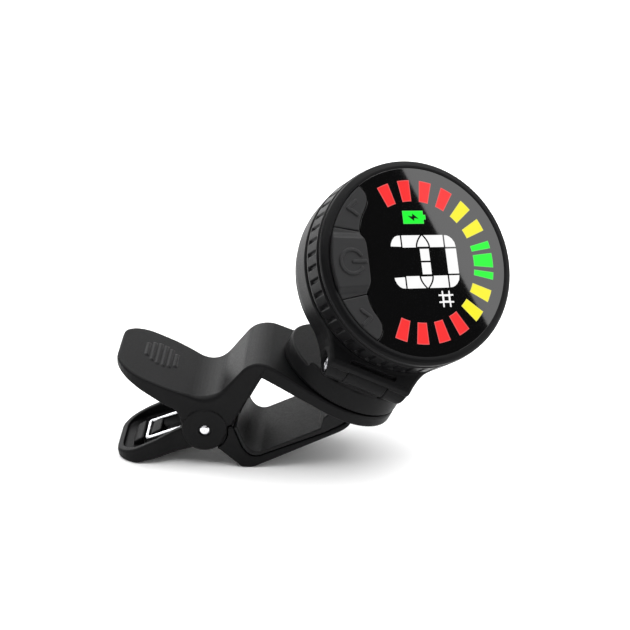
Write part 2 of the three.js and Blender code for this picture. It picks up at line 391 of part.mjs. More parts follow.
// ---------------------------------------------------------------- display head
{
  // bezel: rounded rim in front, notched grip band behind it, inner ledge and screw flange
  const ring = turned([
    [GLASS_R + 0.12, 0.0], [GLASS_R + 0.3, 0.16], [GLASS_R + 0.68, 0.16], [GLASS_R + 1.1, -0.08], [RIM_R - 0.2, -0.5], [RIM_R - 0.02, -1.1], [RIM_R - 0.12, -1.45],
    [KNURL_R, -1.5], [KNURL_R, -1.9], [19.0, -1.9], [19.0, -6.6], [KNURL_R, -6.6], [KNURL_R - 0.2, -KNURL_BACK], [11.8, -KNURL_BACK], [11.8, -6.25], [17.0, -6.25], [17.0, -1.55], [GLASS_R + 0.12, -1.55],
  ], 48);
  // grip ribs between the two lips
  let bezel = ring;
  for (let i = 0; i < KNURL_N; i++) {
    const a = i / KNURL_N * 2 * Math.PI, w = 2 * Math.PI / KNURL_N;
    const f0 = a + 0.05 * w, f1 = a + 0.52 * w;
    bezel = bezel.add(prism([[18.6 * Math.cos(f0), 18.6 * Math.sin(f0)], [KNURL_R * Math.cos(f0), KNURL_R * Math.sin(f0)], [KNURL_R * Math.cos(f1), KNURL_R * Math.sin(f1)], [18.6 * Math.cos(f1), 18.6 * Math.sin(f1)]], -6.7, -1.8));
  }
  for (let i = 0; i < 3; i++) { const a = (90 + 120 * i) * D; bezel = bezel.subtract(cyl(0.9, -8, -6, 12, null, 13.3 * Math.cos(a), 13.3 * Math.sin(a))); }
  node('knurled_bezel', bezel, ...PLASTIC, face);

  // edge between the glass and the keys, in the display's own frame
  const wavy = [[-14.5, -10.3], [-13.6, -9.45], [-12.6, -9.02], [-11.5, -8.98], [-10.3, -9.45], [-9.0, -10.25], [-7.6, -10.85], [-6.2, -11.12], [-5.0, -11.0], [-4.0, -10.6], [-2.8, -10.42]];
  const edge = [...wavy, [0, -10.38], ...wavy.map(([x, y]) => [-x, y]).reverse()];
  const lens = cyl(GLASS_R - 0.08, -1.25, 0, 72).subtract(prism([...edge.map(([x, y]) => [x * 1.0, y + 0.12]), [18, -11], [18, -19], [-18, -19], [-18, -11]], -3, 3));
  node('display_lens', lens, 0x0a0a0c, 0.05, 0.0, face);

  // keys: a raised power key between two lower ones
  const under = prism([...edge.map(([x, y]) => [x, y - 0.12]), [18, -11.2], [18, -19], [-18, -19], [-18, -11.2]], -4, 3);
  const disc = (r, z0, z1) => cyl(r, z0, z1, 72);
  const strip = (x0, x1, x2, x3) => prism([[x0, -20], [x1, -20], [x3, -8], [x2, -8]], -5, 5);
  const keys = {
    button_down: { cut: strip(-20, -6.25, -20, -5.05), top: 0.35 },
    button_power: { cut: strip(-5.95, 5.95, -4.75, 4.75), top: 0.9 },
    button_up: { cut: strip(6.25, 20, 5.05, 20), top: 0.35 },
  };
  const chevron = (cx, cy, s) => prism([[cx - 1.55, cy + s * 1.05], [cx, cy - s * 0.95], [cx + 1.55, cy + s * 1.05], [cx + 1.1, cy + s * 1.35], [cx, cy - s * 0.15], [cx - 1.1, cy + s * 1.35]], -0.6, 0.62);
  const symbols = {
    button_down: chevron(-10.1, -12.3, 1),
    button_up: chevron(10.1, -12.3, -1),
    button_power: (() => {
      const o = []; const cx = 0, cy = -13.9;
      for (let i = 0; i <= 16; i++) { const a = (115 + 310 * i / 16) * D; o.push([cx + 2.45 * Math.cos(a), cy + 2.45 * Math.sin(a)]); }
      for (let i = 16; i >= 0; i--) { const a = (115 + 310 * i / 16) * D; o.push([cx + 1.95 * Math.cos(a), cy + 1.95 * Math.sin(a)]); }
      return prism(o, 0, 1.15).add(box(cx - 0.25, cx + 0.25, cy - 0.2, cy + 2.7, 0, 1.15));
    })(),
  };
  for (const [name, k] of Object.entries(keys)) {
    let s = disc(GLASS_R - 0.16, -1.0, k.top).intersect(under).intersect(k.cut);
    s = s.add(symbols[name]);
    node(name, s, ...RUBBER, face);
  }
  // silicone mat under the keys
  const mat = disc(16.8, -2.6, -1.6).intersect(prism([[-13.4, -9.9], [13.4, -9.9], [17, -14], [17, -19], [-17, -19], [-17, -14]], -4, 3));
  node('keypad_mat', mat, 0x5a5a5e, 0.8, 0.0, face);
  for (const [name, x, y] of [['switch_down', -9.0, -11.3], ['switch_power', 0, -13.2], ['switch_up', 9.0, -11.3]]) {
    node(name, box(x - 1.4, x + 1.4, y - 1.3, y + 1.3, -4.7, -3.9).add(cyl(0.8, -4.0, -3.3, 14, null, x, y)), ...STEEL, face);
  }
  // lit segment panel behind the glass
  node('display_panel', cyl(16.6, -3.6, -1.65, 48).subtract(prism([[-18, -9.6], [18, -9.6], [18, -19], [-18, -19]], -5, 3)), 0x3a3a40, 0.4, 0.0, face);
  node('circuit_board', cyl(16.6, -5.95, -4.95, 48), 0x14502a, 0.5, 0.0, face);

  // rear housing: cup that passes through the collar, closed by a flange behind it
  const groove = [HOUSING_R, 15.55];
  let cup = turned([
    [14.9, -7.45], [HOUSING_R, -7.45], [HOUSING_R, -10.2], [groove[1], -10.35], [groove[1], -11.55], [HOUSING_R, -11.7], [HOUSING_R, -COLLAR_BACK - 0.28],
    [18.2, -COLLAR_BACK - 0.28], [18.3, -14.8], [17.9, -BACK_FACE + 0.2], [17.2, -BACK_FACE], [0, -BACK_FACE], [0, -14.0], [14.9, -14.0],
  ], 48);
  const bosses = [];
  for (let i = 0; i < 3; i++) {
    const a = (90 + 120 * i) * D, x = 13.3 * Math.cos(a), y = 13.3 * Math.sin(a);
    cup = cup.add(cyl(1.75, -14.2, -7.47, 16, null, x, y));
    bosses.push([x, y]);
  }
  for (const [x, y] of bosses) cup = cup.subtract(cyl(0.9, -17, -6, 12, null, x, y)).subtract(cyl(1.7, -17, -14.6, 16, null, x, y));
  const usb = (g, z0, z1) => prism(rounded([[-4.5 - g, -10.4 - g, 1.5, 4], [4.5 + g, -10.4 - g, 1.5, 4], [4.5 + g, -7.2 + g, 1.5, 4], [-4.5 - g, -7.2 + g, 1.5, 4]]), z0, z1);
  cup = cup.subtract(usb(0.3, -17, -13));
  node('rear_housing', cup, ...PLASTIC, face);
  bosses.forEach(([x, y], i) => {
    const M = new THREE.Matrix4().makeTranslation(x, y, 0);
    node('housing_screw_' + (i + 1), turned([[0, -15.35], [1.3, -15.35], [1.4, -14.85], [0.62, -14.85], [0.62, -6.45], [0, -6.45]], 16, M)
      .subtract(box(-0.18, 0.18, -0.9, 0.9, -16, -15.0, M)).subtract(box(-0.9, 0.9, -0.18, 0.18, -16, -15.0, M)), ...STEEL, face);
  });
  node('friction_ring', turned([[15.7, -10.6], [16.42, -10.6], [16.42, -11.3], [15.7, -11.3]], 32), ...RUBBER, face);
  node('usb_socket', usb(0, -15.2, -6.15).subtract(prism(rounded([[-4.1, -10.0, 1.2, 3], [4.1, -10.0, 1.2, 3], [4.1, -7.6, 1.2, 3], [-4.1, -7.6, 1.2, 3]]), -16, -9.5)).add(box(-3.2, 3.2, -9.15, -8.45, -14.4, -9.2)), ...STEEL, face);
  node('battery_cell', prism(rounded([[-8, -5.6, 1, 3], [8, -5.6, 1, 3], [8, 7.4, 1, 3], [-8, 7.4, 1, 3]]), -12.2, -8.2), 0x9a9aa2, 0.4, 0.6, face);
  node('piezo_sensor', cyl(6.0, -13.7, -13.1, 28, null, 0, 1), 0xc9a34a, 0.35, 0.9, face);
}

export default group;
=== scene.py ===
# Clip-on tuner: the looks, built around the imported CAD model. Lengths in the outlines are millimetres.
import math

import bpy
import numpy as np
from mathutils import Matrix, Vector


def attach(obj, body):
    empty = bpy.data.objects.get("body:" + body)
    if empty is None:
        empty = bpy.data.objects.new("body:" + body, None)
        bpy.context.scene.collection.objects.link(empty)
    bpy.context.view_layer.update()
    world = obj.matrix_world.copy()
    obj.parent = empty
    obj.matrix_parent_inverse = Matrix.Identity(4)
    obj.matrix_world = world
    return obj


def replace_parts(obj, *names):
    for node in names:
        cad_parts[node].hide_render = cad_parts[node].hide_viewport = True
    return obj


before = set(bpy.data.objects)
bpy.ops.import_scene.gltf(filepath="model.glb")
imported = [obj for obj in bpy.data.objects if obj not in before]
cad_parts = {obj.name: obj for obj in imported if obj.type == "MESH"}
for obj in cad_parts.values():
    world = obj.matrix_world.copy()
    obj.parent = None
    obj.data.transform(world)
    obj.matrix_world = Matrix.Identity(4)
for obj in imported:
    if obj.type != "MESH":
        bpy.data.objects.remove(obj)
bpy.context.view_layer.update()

D = math.pi / 180
ORIGIN_X, ORIGIN_Y, PIVOT_Z = 19.691, 1.157, 7.95
SWIVEL_X, SWIVEL_Z, SLOPE = 25.35, 7.31, 27.7
TURN, BASE_TOP, HINGE_OFF, HINGE_H, BARREL_R, BARREL_HALF, KNUCKLE_HALF = 8.5, 3.6, 11.06, 7.34, 2.4, 7.95, 3.8
TILT, HEAD_UP, HEAD_OUT, DISPLAY_TURN = 45.4, 20.98, 11.05, 23.7
GLASS_R, RIM_R, KNURL_R, KNURL_BACK = 17.76, 19.42, 19.5, 7.17
COLLAR_FRONT, COLLAR_BACK, COLLAR_R0, COLLAR_R1, COLLAR_BORE, BACK_FACE = 7.47, 14.32, 19.55, 18.57, 16.6, 15.5
PLATFORM_R, PLATFORM_T = 12.1, 2.45

# ------------------------------------------------------------------ frames: 4x4, local mm -> row frame mm
def frame4(x, y, z, o):
    m = np.eye(4); m[:3, 0] = x; m[:3, 1] = y; m[:3, 2] = z; m[:3, 3] = o
    return m

a, s, t = SLOPE * D, TURN * D, TILT * D
M_AX = np.array([math.sin(a), 0, math.cos(a)])
T_X = np.array([math.cos(a), 0, -math.sin(a)])
H_AX = math.cos(s) * T_X + math.sin(s) * np.array([0, 1.0, 0])
BACK = np.cross(M_AX, H_AX)
CLIP = frame4([1, 0, 0], [0, 1, 0], [0, 0, 1], [-ORIGIN_X, -ORIGIN_Y, PIVOT_Z])
S_O = np.array([SWIVEL_X - ORIGIN_X, -ORIGIN_Y, SWIVEL_Z + PIVOT_Z])
SWIVEL = frame4(H_AX, BACK, M_AX, S_O)
N_AX = -math.cos(t) * BACK + math.sin(t) * M_AX
U_AX = math.sin(t) * BACK + math.cos(t) * M_AX
H_O = S_O - HINGE_OFF * BACK + HINGE_H * M_AX
G_O = H_O + HEAD_UP * U_AX + HEAD_OUT * N_AX
HEAD = frame4(H_AX, U_AX, N_AX, G_O)
fr = (DISPLAY_TURN - 90) * D
FACE = frame4(H_AX * math.cos(fr) + U_AX * math.sin(fr), -H_AX * math.sin(fr) + U_AX * math.cos(fr), N_AX, G_O)


# ------------------------------------------------------------------ outlines
def rounded(points, steps=10):
    out, n = [], len(points)
    for i in range(n):
        p = points[i]
        r = p[2] if len(p) > 2 else 0
        P = np.array(p[:2], float)
        if not r:
            out.append(tuple(P)); continue
        A, B = np.array(points[i - 1][:2], float), np.array(points[(i + 1) % n][:2], float)
        da, db = (A - P) / np.linalg.norm(A - P), (B - P) / np.linalg.norm(B - P)
        ang = math.acos(max(-1, min(1, da @ db)))
        k = r / math.tan(ang / 2)
        bis = (da + db) / np.linalg.norm(da + db)
        c = P + bis * r / math.sin(ang / 2)
        p0, p1 = P + da * k, P + db * k
        a0, a1 = math.atan2(p0[1] - c[1], p0[0] - c[0]), math.atan2(p1[1] - c[1], p1[0] - c[0])
        d = (a1 - a0 + math.pi) % (2 * math.pi) - math.pi
        for j in range(steps + 1):
            q = a0 + d * j / steps
            out.append((c[0] + r * math.cos(q), c[1] + r * math.sin(q)))
    return out


class Poly:
    """Signed distance to a closed outline, negative inside, read from a fine table."""

    def __init__(self, pts, res=0.1, pad=1.5):
        p = np.array(pts, float)
        self.res, self.lo = res, p.min(0) - pad
        self.n = np.ceil((p.max(0) + pad - self.lo) / res).astype(int) + 1
        X, Y = np.meshgrid(self.lo[0] + res * np.arange(self.n[0]), self.lo[1] + res * np.arange(self.n[1]), indexing="ij")
        best, inside = np.full(X.shape, 1e9), np.zeros(X.shape, bool)
        q = np.roll(p, -1, 0)
        for (x0, y0), (x1, y1) in zip(p, q):
            ex, ey = x1 - x0, y1 - y0
            L = ex * ex + ey * ey
            if L < 1e-14:
                continue
            u = np.clip(((X - x0) * ex + (Y - y0) * ey) / L, 0, 1)
            best = np.minimum(best, (X - x0 - u * ex) ** 2 + (Y - y0 - u * ey) ** 2)
            if y0 != y1:
                c = ((y0 > Y) != (y1 > Y)) & (X < ex * (Y - y0) / (y1 - y0) + x0)
                inside ^= c
        self.T = np.where(inside, -1, 1) * np.sqrt(best)

    def __call__(self, x, y):
        u, v = (x - self.lo[0]) / self.res, (y - self.lo[1]) / self.res
        cu, cv = np.clip(u, 0, self.n[0] - 1.001), np.clip(v, 0, self.n[1] - 1.001)
        i, j = cu.astype(int), cv.astype(int)
        fu, fv = cu - i, cv - j
        T = self.T
        d = (T[i, j] * (1 - fu) + T[i + 1, j] * fu) * (1 - fv) + (T[i, j + 1] * (1 - fu) + T[i + 1, j + 1] * fu) * fv
        return d + self.res * np.hypot(u - cu, v - cv)


def rmax(p, q, r):
    u, v = np.maximum(p + r, 0), np.maximum(q + r, 0)
    return np.minimum(-r, np.maximum(p, q)) + np.sqrt(u * u + v * v)


def rmin(p, q, r):
    return -rmax(-p, -q, r)


def smooth(e0, e1, x):
    k = np.clip((x - e0) / (e1 - e0), 0, 1)
    return k * k * (3 - 2 * k)


# ------------------------------------------------------------------ meshes
def nets(f, lo, hi, cell, B=4):
    """A closed quad mesh of f = 0 by surface nets, its points then drawn onto the surface, with the surface's own normals."""
    lo, hi = np.array(lo, float) - cell, np.array(hi, float) + cell
    nb = np.ceil((hi - lo) / (cell * B)).astype(int)
    bx = [lo[k] + cell * B * (np.arange(nb[k]) + 0.5) for k in range(3)]
    C = np.stack(np.meshgrid(*bx, indexing="ij"), -1).reshape(-1, 3)
    d = f(C).reshape(nb)
    keep = np.abs(d) < cell * B * 0.87 * 1.5 + cell
    n = nb * B + 1
    G = np.empty(n, np.float32)
    big = np.repeat(np.repeat(np.repeat(d, B, 0), B, 1), B, 2)
    G[:-1, :-1, :-1] = big
    G[-1], G[:, -1], G[:, :, -1] = 1, 1, 1
    K = np.repeat(np.repeat(np.repeat(keep, B, 0), B, 1), B, 2)
    mask = np.zeros(n, bool)
    for i in (0, 1):
        for j in (0, 1):
            for k in (0, 1):
                mask[i:i + K.shape[0], j:j + K.shape[1], k:k + K.shape[2]] |= K
    idx = np.argwhere(mask)
    out = np.empty(len(idx), np.float32)
    for c in range(0, len(idx), 400000):
        out[c:c + 400000] = f(lo + cell * idx[c:c + 400000])
    G[mask] = out
    G[G == 0] = 1e-6
    S = G < 0
    cs = np.zeros(n - 1, np.int8)
    for i in (0, 1):
        for j in (0, 1):
            for k in (0, 1):
                cs += S[i:n[0] - 1 + i, j:n[1] - 1 + j, k:n[2] - 1 + k]
    cells = np.argwhere((cs > 0) & (cs < 8))
    vid = np.full(n - 1, -1, np.int64)
    vid[tuple(cells.T)] = np.arange(len(cells))
    acc, cnt = np.zeros((len(cells), 3)), np.zeros(len(cells))
    E = [((i, j, k), ax) for ax in range(3) for i in (0, 1) for j in (0, 1) for k in (0, 1) if (i, j, k)[ax] == 0]
    for off, ax in E:
        o2 = list(off); o2[ax] = 1
        A = G[tuple((cells + off).T)]
        Bv = G[tuple((cells + o2).T)]
        x = (A < 0) != (Bv < 0)
        w = np.where(x, A / np.where(x, A - Bv, 1), 0)
        p = np.tile(np.array(off, float), (len(cells), 1)); p[:, ax] = w
        acc += p * x[:, None]; cnt += x
    V = lo + cell * (cells + acc / cnt[:, None])
    home = V.copy()

    def grad(P, e=0.02):
        g = np.empty_like(P)
        for k in range(3):
            q = np.zeros(3); q[k] = e
            g[:, k] = (f(P + q) - f(P - q)) / (2 * e)
        return g

    for _ in range(2):
        g = grad(V)
        step = (f(V) / np.maximum((g * g).sum(1), 0.2))[:, None] * g
        L = np.linalg.norm(step, axis=1)[:, None]
        V = V - step * np.minimum(1, 0.5 * cell / np.maximum(L, 1e-9))
        V = home + np.clip(V - home, -0.75 * cell, 0.75 * cell)
    g = grad(V, 0.05)
    N = g / np.maximum(np.linalg.norm(g, axis=1), 1e-9)[:, None]
    quads = []
    for ax in range(3):
        b, c = (ax + 1) % 3, (ax + 2) % 3
        lo_s = [slice(None)] * 3; hi_s = [slice(None)] * 3
        lo_s[ax], hi_s[ax] = slice(0, -1), slice(1, None)
        ch = S[tuple(lo_s)] != S[tuple(hi_s)]
        e = np.argwhere(ch)
        e = e[(e[:, b] > 0) & (e[:, c] > 0) & (e[:, b] < n[b] - 1) & (e[:, c] < n[c] - 1)]
        ub, uc = np.zeros(3, int), np.zeros(3, int)
        ub[b], uc[c] = 1, 1
        q = np.stack([vid[tuple((e - ub - uc).T)], vid[tuple((e - uc).T)], vid[tuple(e.T)], vid[tuple((e - ub).T)]], 1)
        flip = ~S[tuple(e.T)]
        q[flip] = q[flip][:, ::-1]
        quads.append(q)
    Q = np.concatenate(quads)
    return V, Q, N


def obj_from(name, V, F, world, body, mat, normals=None, smooth_shade=True, attrs=None):
    W = (V @ world[:3, :3].T + world[:3, 3]) / 1000.0
    me = bpy.data.meshes.new(name)
    if isinstance(F, np.ndarray):
        me.vertices.add(len(W)); me.vertices.foreach_set("co", W.astype(np.float32).ravel())
        k = F.shape[1]
        me.loops.add(F.size); me.loops.foreach_set("vertex_index", F.astype(np.int32).ravel())
        me.polygons.add(len(F))
        me.polygons.foreach_set("loop_start", (np.arange(len(F)) * k).astype(np.int32))
        me.update(calc_edges=True)
    else:
        me.from_pydata([tuple(p) for p in W], [], F)
    me.validate()
    me.polygons.foreach_set("use_smooth", [smooth_shade] * len(me.polygons))
    for an, (kind, data) in (attrs or {}).items():
        at = me.attributes.new(an, kind, "POINT")
        at.data.foreach_set("color" if kind == "FLOAT_COLOR" else "value", np.asarray(data, np.float32).ravel())
    if normals is not None:
        me.normals_split_custom_set_from_vertices([tuple(v) for v in normals @ world[:3, :3].T])
    ob = bpy.data.objects.new(name, me)
    bpy.context.scene.collection.objects.link(ob)
    me.materials.append(mat)
    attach(ob, body)
    return ob


def sdf_piece(name, f, lo, hi, cell, world, body, slot, mat, *nodes):
    V, Q, N = nets(f, lo, hi, cell)
    ob = obj_from(name, V, Q, world, body, mat, N)
    if nodes:
        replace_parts(ob, *nodes)
    return ob


def lathe(profile, n, radius=None):
    """profile: closed outline of (r, z). radius(theta, r, z) may change r. Returns verts, quads."""
    th = np.arange(n) * 2 * math.pi / n
    p = np.array(profile, float)
    R = np.tile(p[:, 0], (n, 1)); Z = np.tile(p[:, 1], (n, 1))
    if radius is not None:
        R = radius(th[:, None], R, Z)
    V = np.stack([R * np.cos(th)[:, None], R * np.sin(th)[:, None], Z], -1).reshape(-1, 3)
    m = len(p)
    i, j = np.meshgrid(np.arange(n), np.arange(m), indexing="ij")
    i2, j2 = (i + 1) % n, (j + 1) % m
    Q = np.stack([i * m + j, i2 * m + j, i2 * m + j2, i * m + j2], -1).reshape(-1, 4)
    return V, Q


# ------------------------------------------------------------------ materials
def material(name, base, rough, spec=0.5, metal=0.0, grain=0.35, grain_mm=0.12, blotch=0.12, rough_var=0.08, edge=0.0, coat=0.0, sheen=0.0, scratches=0.0):
    m = bpy.data.materials.new(name); m.use_nodes = True
    nt = m.node_tree; N, L = nt.nodes, nt.links
    b = next(x for x in N if x.type == "BSDF_PRINCIPLED")
    b.inputs["Metallic"].default_value = metal
    b.inputs["Specular IOR Level"].default_value = spec
    if coat:
        b.inputs["Coat Weight"].default_value = coat
        b.inputs["Coat Roughness"].default_value = 0.12
    if sheen:
        b.inputs["Sheen Weight"].default_value = sheen
        b.inputs["Sheen Roughness"].default_value = 0.5
    tc = N.new("ShaderNodeTexCoord")
    big = N.new("ShaderNodeTexNoise"); big.inputs["Scale"].default_value = 160; big.inputs["Detail"].default_value = 4
    L.new(tc.outputs["Object"], big.inputs["Vector"])
    fine = N.new("ShaderNodeTexNoise"); fine.inputs["Scale"].default_value = 1000.0 / grain_mm / 2; fine.inputs["Detail"].default_value = 3
    fine.inputs["Roughness"].default_value = 0.6
    L.new(tc.outputs["Object"], fine.inputs["Vector"])
    mix = N.new("ShaderNodeMix"); mix.data_type = "RGBA"
    lo = [c * (1 - blotch) for c in base]; hi = [min(1, c * (1 + blotch)) for c in base]
    mix.inputs[6].default_value = (*lo, 1); mix.inputs[7].default_value = (*hi, 1)
    L.new(big.outputs["Fac"], mix.inputs[0])
    col = mix.outputs[2]
    # edge lightens convex edges (by pointiness, unevenly through the big noise): a painted highlight standing in for
    # light caught on the edge fillets
    if edge:
        geo = N.new("ShaderNodeNewGeometry")
        ramp = N.new("ShaderNodeMapRange"); ramp.inputs["From Min"].default_value = 0.53; ramp.inputs["From Max"].default_value = 0.62
        ramp.inputs["To Max"].default_value = edge
        L.new(geo.outputs["Pointiness"], ramp.inputs["Value"])
        br = N.new("ShaderNodeMath"); br.operation = "MULTIPLY"
        L.new(ramp.outputs["Result"], br.inputs[0]); L.new(big.outputs["Fac"], br.inputs[1])
        mx = N.new("ShaderNodeMix"); mx.data_type = "RGBA"
        mx.inputs[7].default_value = (*[min(1, c * 2.2 + 0.012) for c in base], 1)
        L.new(br.outputs[0], mx.inputs[0]); L.new(col, mx.inputs[6]); col = mx.outputs[2]
    L.new(col, b.inputs["Base Color"])
    mr = N.new("ShaderNodeMapRange")
    mr.inputs["To Min"].default_value = max(0.01, rough - rough_var); mr.inputs["To Max"].default_value = min(1, rough + rough_var)
    mr.inputs["From Min"].default_value = 0.3; mr.inputs["From Max"].default_value = 0.7
    L.new(fine.outputs["Fac"], mr.inputs["Value"]); L.new(mr.outputs["Result"], b.inputs["Roughness"])
    if grain:
        bump = N.new("ShaderNodeBump"); bump.inputs["Strength"].default_value = grain; bump.inputs["Distance"].default_value = 0.00003
        h = fine.outputs["Fac"]
        if scratches:
            mp = N.new("ShaderNodeMapping"); mp.inputs["Scale"].default_value = (1, 40, 40)
            L.new(tc.outputs["Object"], mp.inputs["Vector"])
            sc = N.new("ShaderNodeTexNoise"); sc.inputs["Scale"].default_value = 300
            L.new(mp.outputs["Vector"], sc.inputs["Vector"])
            ad = N.new("ShaderNodeMath"); ad.operation = "MULTIPLY_ADD"; ad.inputs[1].default_value = scratches
            L.new(sc.outputs["Fac"], ad.inputs[0]); L.new(h, ad.inputs[2]); h = ad.outputs[0]
        L.new(h, bump.inputs["Height"]); L.new(bump.outputs["Normal"], b.inputs["Normal"])
    return m


# edge= here sets the painted edge highlight on the black mouldings and the bezel
PLASTIC = material("moulded_black", (0.0052, 0.0052, 0.0055), 0.42, spec=0.075, edge=0.35)
BEZEL = material("moulded_black_bezel", (0.0035, 0.0035, 0.0038), 0.36, spec=0.07, edge=0.08)
PADS = material("soft_pad_rubber", (0.0095, 0.0095, 0.01), 0.55, spec=0.12, grain=0.5, grain_mm=0.2, sheen=0.02)
KEYS = material("key_silicone", (0.012, 0.012, 0.0125), 0.48, spec=0.14, grain=0.3, grain_mm=0.15, sheen=0.02)
CHROME = material("bright_nickel", (0.78, 0.78, 0.8), 0.16, metal=1, grain=0.05, scratches=0.5, rough_var=0.05)
STEEL = material("plated_steel", (0.62, 0.62, 0.64), 0.27, metal=1, grain=0.12, scratches=1.0, rough_var=0.08)
GLASS = material("dark_window", (0.0008, 0.0008, 0.0009), 0.02, spec=0.6, grain=0.0, rough_var=0.006)
BOARD = material("solder_mask", (0.01, 0.11, 0.045), 0.4, grain=0.3, blotch=0.25)
FOIL = material("cell_foil", (0.62, 0.62, 0.66), 0.35, metal=0.9, grain=0.3)
BRASS = material("sensor_brass", (0.72, 0.52, 0.22), 0.3, metal=1, grain=0.2)
MAT = material("clear_silicone", (0.2, 0.2, 0.21), 0.6, grain=0.2)
NYLON = material("black_nylon", (0.005, 0.005, 0.0052), 0.5, spec=0.08, grain=0.1)
MODULE = material("display_body", (0.05, 0.05, 0.056), 0.45, grain=0.2)


def lit_material():
    m = bpy.data.materials.new("lit_segments"); m.use_nodes = True
    nt = m.node_tree; N, L = nt.nodes, nt.links
    b = next(x for x in N if x.type == "BSDF_PRINCIPLED")
    b.inputs["Base Color"].default_value = (0.003, 0.003, 0.003, 1)
    b.inputs["Roughness"].default_value = 0.035
    b.inputs["Specular IOR Level"].default_value = 0.1
    at = N.new("ShaderNodeAttribute"); at.attribute_name = "tint"
    tc = N.new("ShaderNodeTexCoord")
    no = N.new("ShaderNodeTexNoise"); no.inputs["Scale"].default_value = 500
    L.new(tc.outputs["Object"], no.inputs["Vector"])
    mr = N.new("ShaderNodeMapRange"); mr.inputs["To Min"].default_value = 0.93; mr.inputs["To Max"].default_value = 1.03
    L.new(no.outputs["Fac"], mr.inputs["Value"])
    vm = N.new("ShaderNodeVectorMath"); vm.operation = "SCALE"
    L.new(at.outputs["Color"], vm.inputs[0]); L.new(mr.outputs["Result"], vm.inputs["Scale"])
    L.new(vm.outputs["Vector"], b.inputs["Emission Color"])
    b.inputs["Emission Strength"].default_value = 1.0
    return m


LIT = lit_material()
Q = 1.0

# ------------------------------------------------------------------ clip arms
EAR_FACE, EAR_IN, THUMB_HALF, LEVER_HALF, FLARE_HALF, JAW_HALF, BOSS_R = 9.0, 8.0, 10.0, 7.7, 8.6, 9.0, 4.15
EAR_R = 4.36
ear = [(EAR_R * math.cos((8 - i * 8.1) * D), EAR_R * math.sin((8 - i * 8.1) * D)) for i in range(17)]
ear += [(r_ * math.cos(g_ * D), r_ * math.sin(g_ * D)) for r_, g_ in ((4.30, -130), (4.24, -138), (4.18, -146), (BOSS_R, -154), (BOSS_R, -160), (BOSS_R, -166), (BOSS_R, -172), (BOSS_R, -178))]
side_u = Poly(rounded([
    (-16.8, 13.88, 0.5), (1.36, 5.63, 5.2), (9.63, 15.56, 4.6), (37.75, 0.80), (36.6, -1.37), (20.0, 7.4), (10.75, 11.62, 0.6), (6.95, 3.9), (6.25, 3.25, 0.8), (5.62, 1.15, 0.4), (4.7, 0.85, 0.2), *ear, (-4.43, 1.75, 0.8), (-4.75, 3.0), (-5.5, 4.55, 1.5), (-7.3, 5.65, 2.5), (-10.4, 7.8), (-13.0, 9.55), (-16.85, 11.95, 0.45),
]))
plan_u = Poly(rounded([
    (-16.8, -THUMB_HALF, 6.3), (-7.0, -THUMB_HALF, 8), (-2.5, -9.3, 6), (2.0, -EAR_FACE, 6), (10.1, -EAR_FACE), (11.6, -9.23), (13.0, -9.52), (14.2, -9.8),
    (14.2, 9.8), (13.0, 9.52), (11.6, 9.23), (10.1, EAR_FACE), (2.0, EAR_FACE, 6), (-2.5, 9.3, 6), (-7.0, THUMB_HALF, 8), (-16.8, THUMB_HALF, 6.3)]))
hole_side = Poly(rounded([(-15.6, 11.7, 0.8), (-1.9, 5.3, 1.2), (-0.1, 4.8, 1), (1.3, 5.25, 1), (6.7, 9.4), (7.3, 9.4), (4.95, 4.3), (8.0, 3.3), (8.0, -7), (-7, -7), (-9, 3), (-15.6, 6)]))
hole_plan = Poly(rounded([(-15.35, -8.5, 5.2), (-7.0, -8.5, 3), (-5.2, -EAR_IN, 3), (12, -EAR_IN), (12, EAR_IN), (-5.2, EAR_IN, 3), (-7.0, 8.5, 3), (-15.35, 8.5, 5.2)]))
PS = -17.2
flare = []
for i in range(25):
    k = max(0.0, 1 - (-i + 24) / 24.0)
    f_ = (k ** 3 - 2 * k * k + k) * 0.6 + (3 * k * k - 2 * k ** 3)
    flare.append((PS * (1 - k), -(JAW_HALF + (PLATFORM_R - JAW_HALF) * f_)))
disc = [(PLATFORM_R * math.cos((-90 + 180 * i / 60) * D), PLATFORM_R * math.sin((-90 + 180 * i / 60) * D)) for i in range(1, 60)]
plate = Poly([p for p in flare if p[0] > -15.5] + disc + [(p[0], -p[1]) for p in reversed(flare) if p[0] > -15.5])
recess = Poly([(8.0, 5.9), (11.9, 9.6), (24.0, 3.4), (24.9, 5.75), (11.2, 12.25), (9.85, 12.0), (7.1, 6.3)])


def plat(P):
    x, z = P[:, 0] - SWIVEL_X, P[:, 2] - SWIVEL_Z
    return x * math.cos(a) - z * math.sin(a), P[:, 1], x * math.sin(a) + z * math.cos(a)


E_T = np.array([-16.8 - 1.36, 13.88 - 5.63]); E_T /= np.linalg.norm(E_T)
E_N = np.array([-E_T[1], E_T[0]]) * (1 if E_T[0] > 0 else -1)


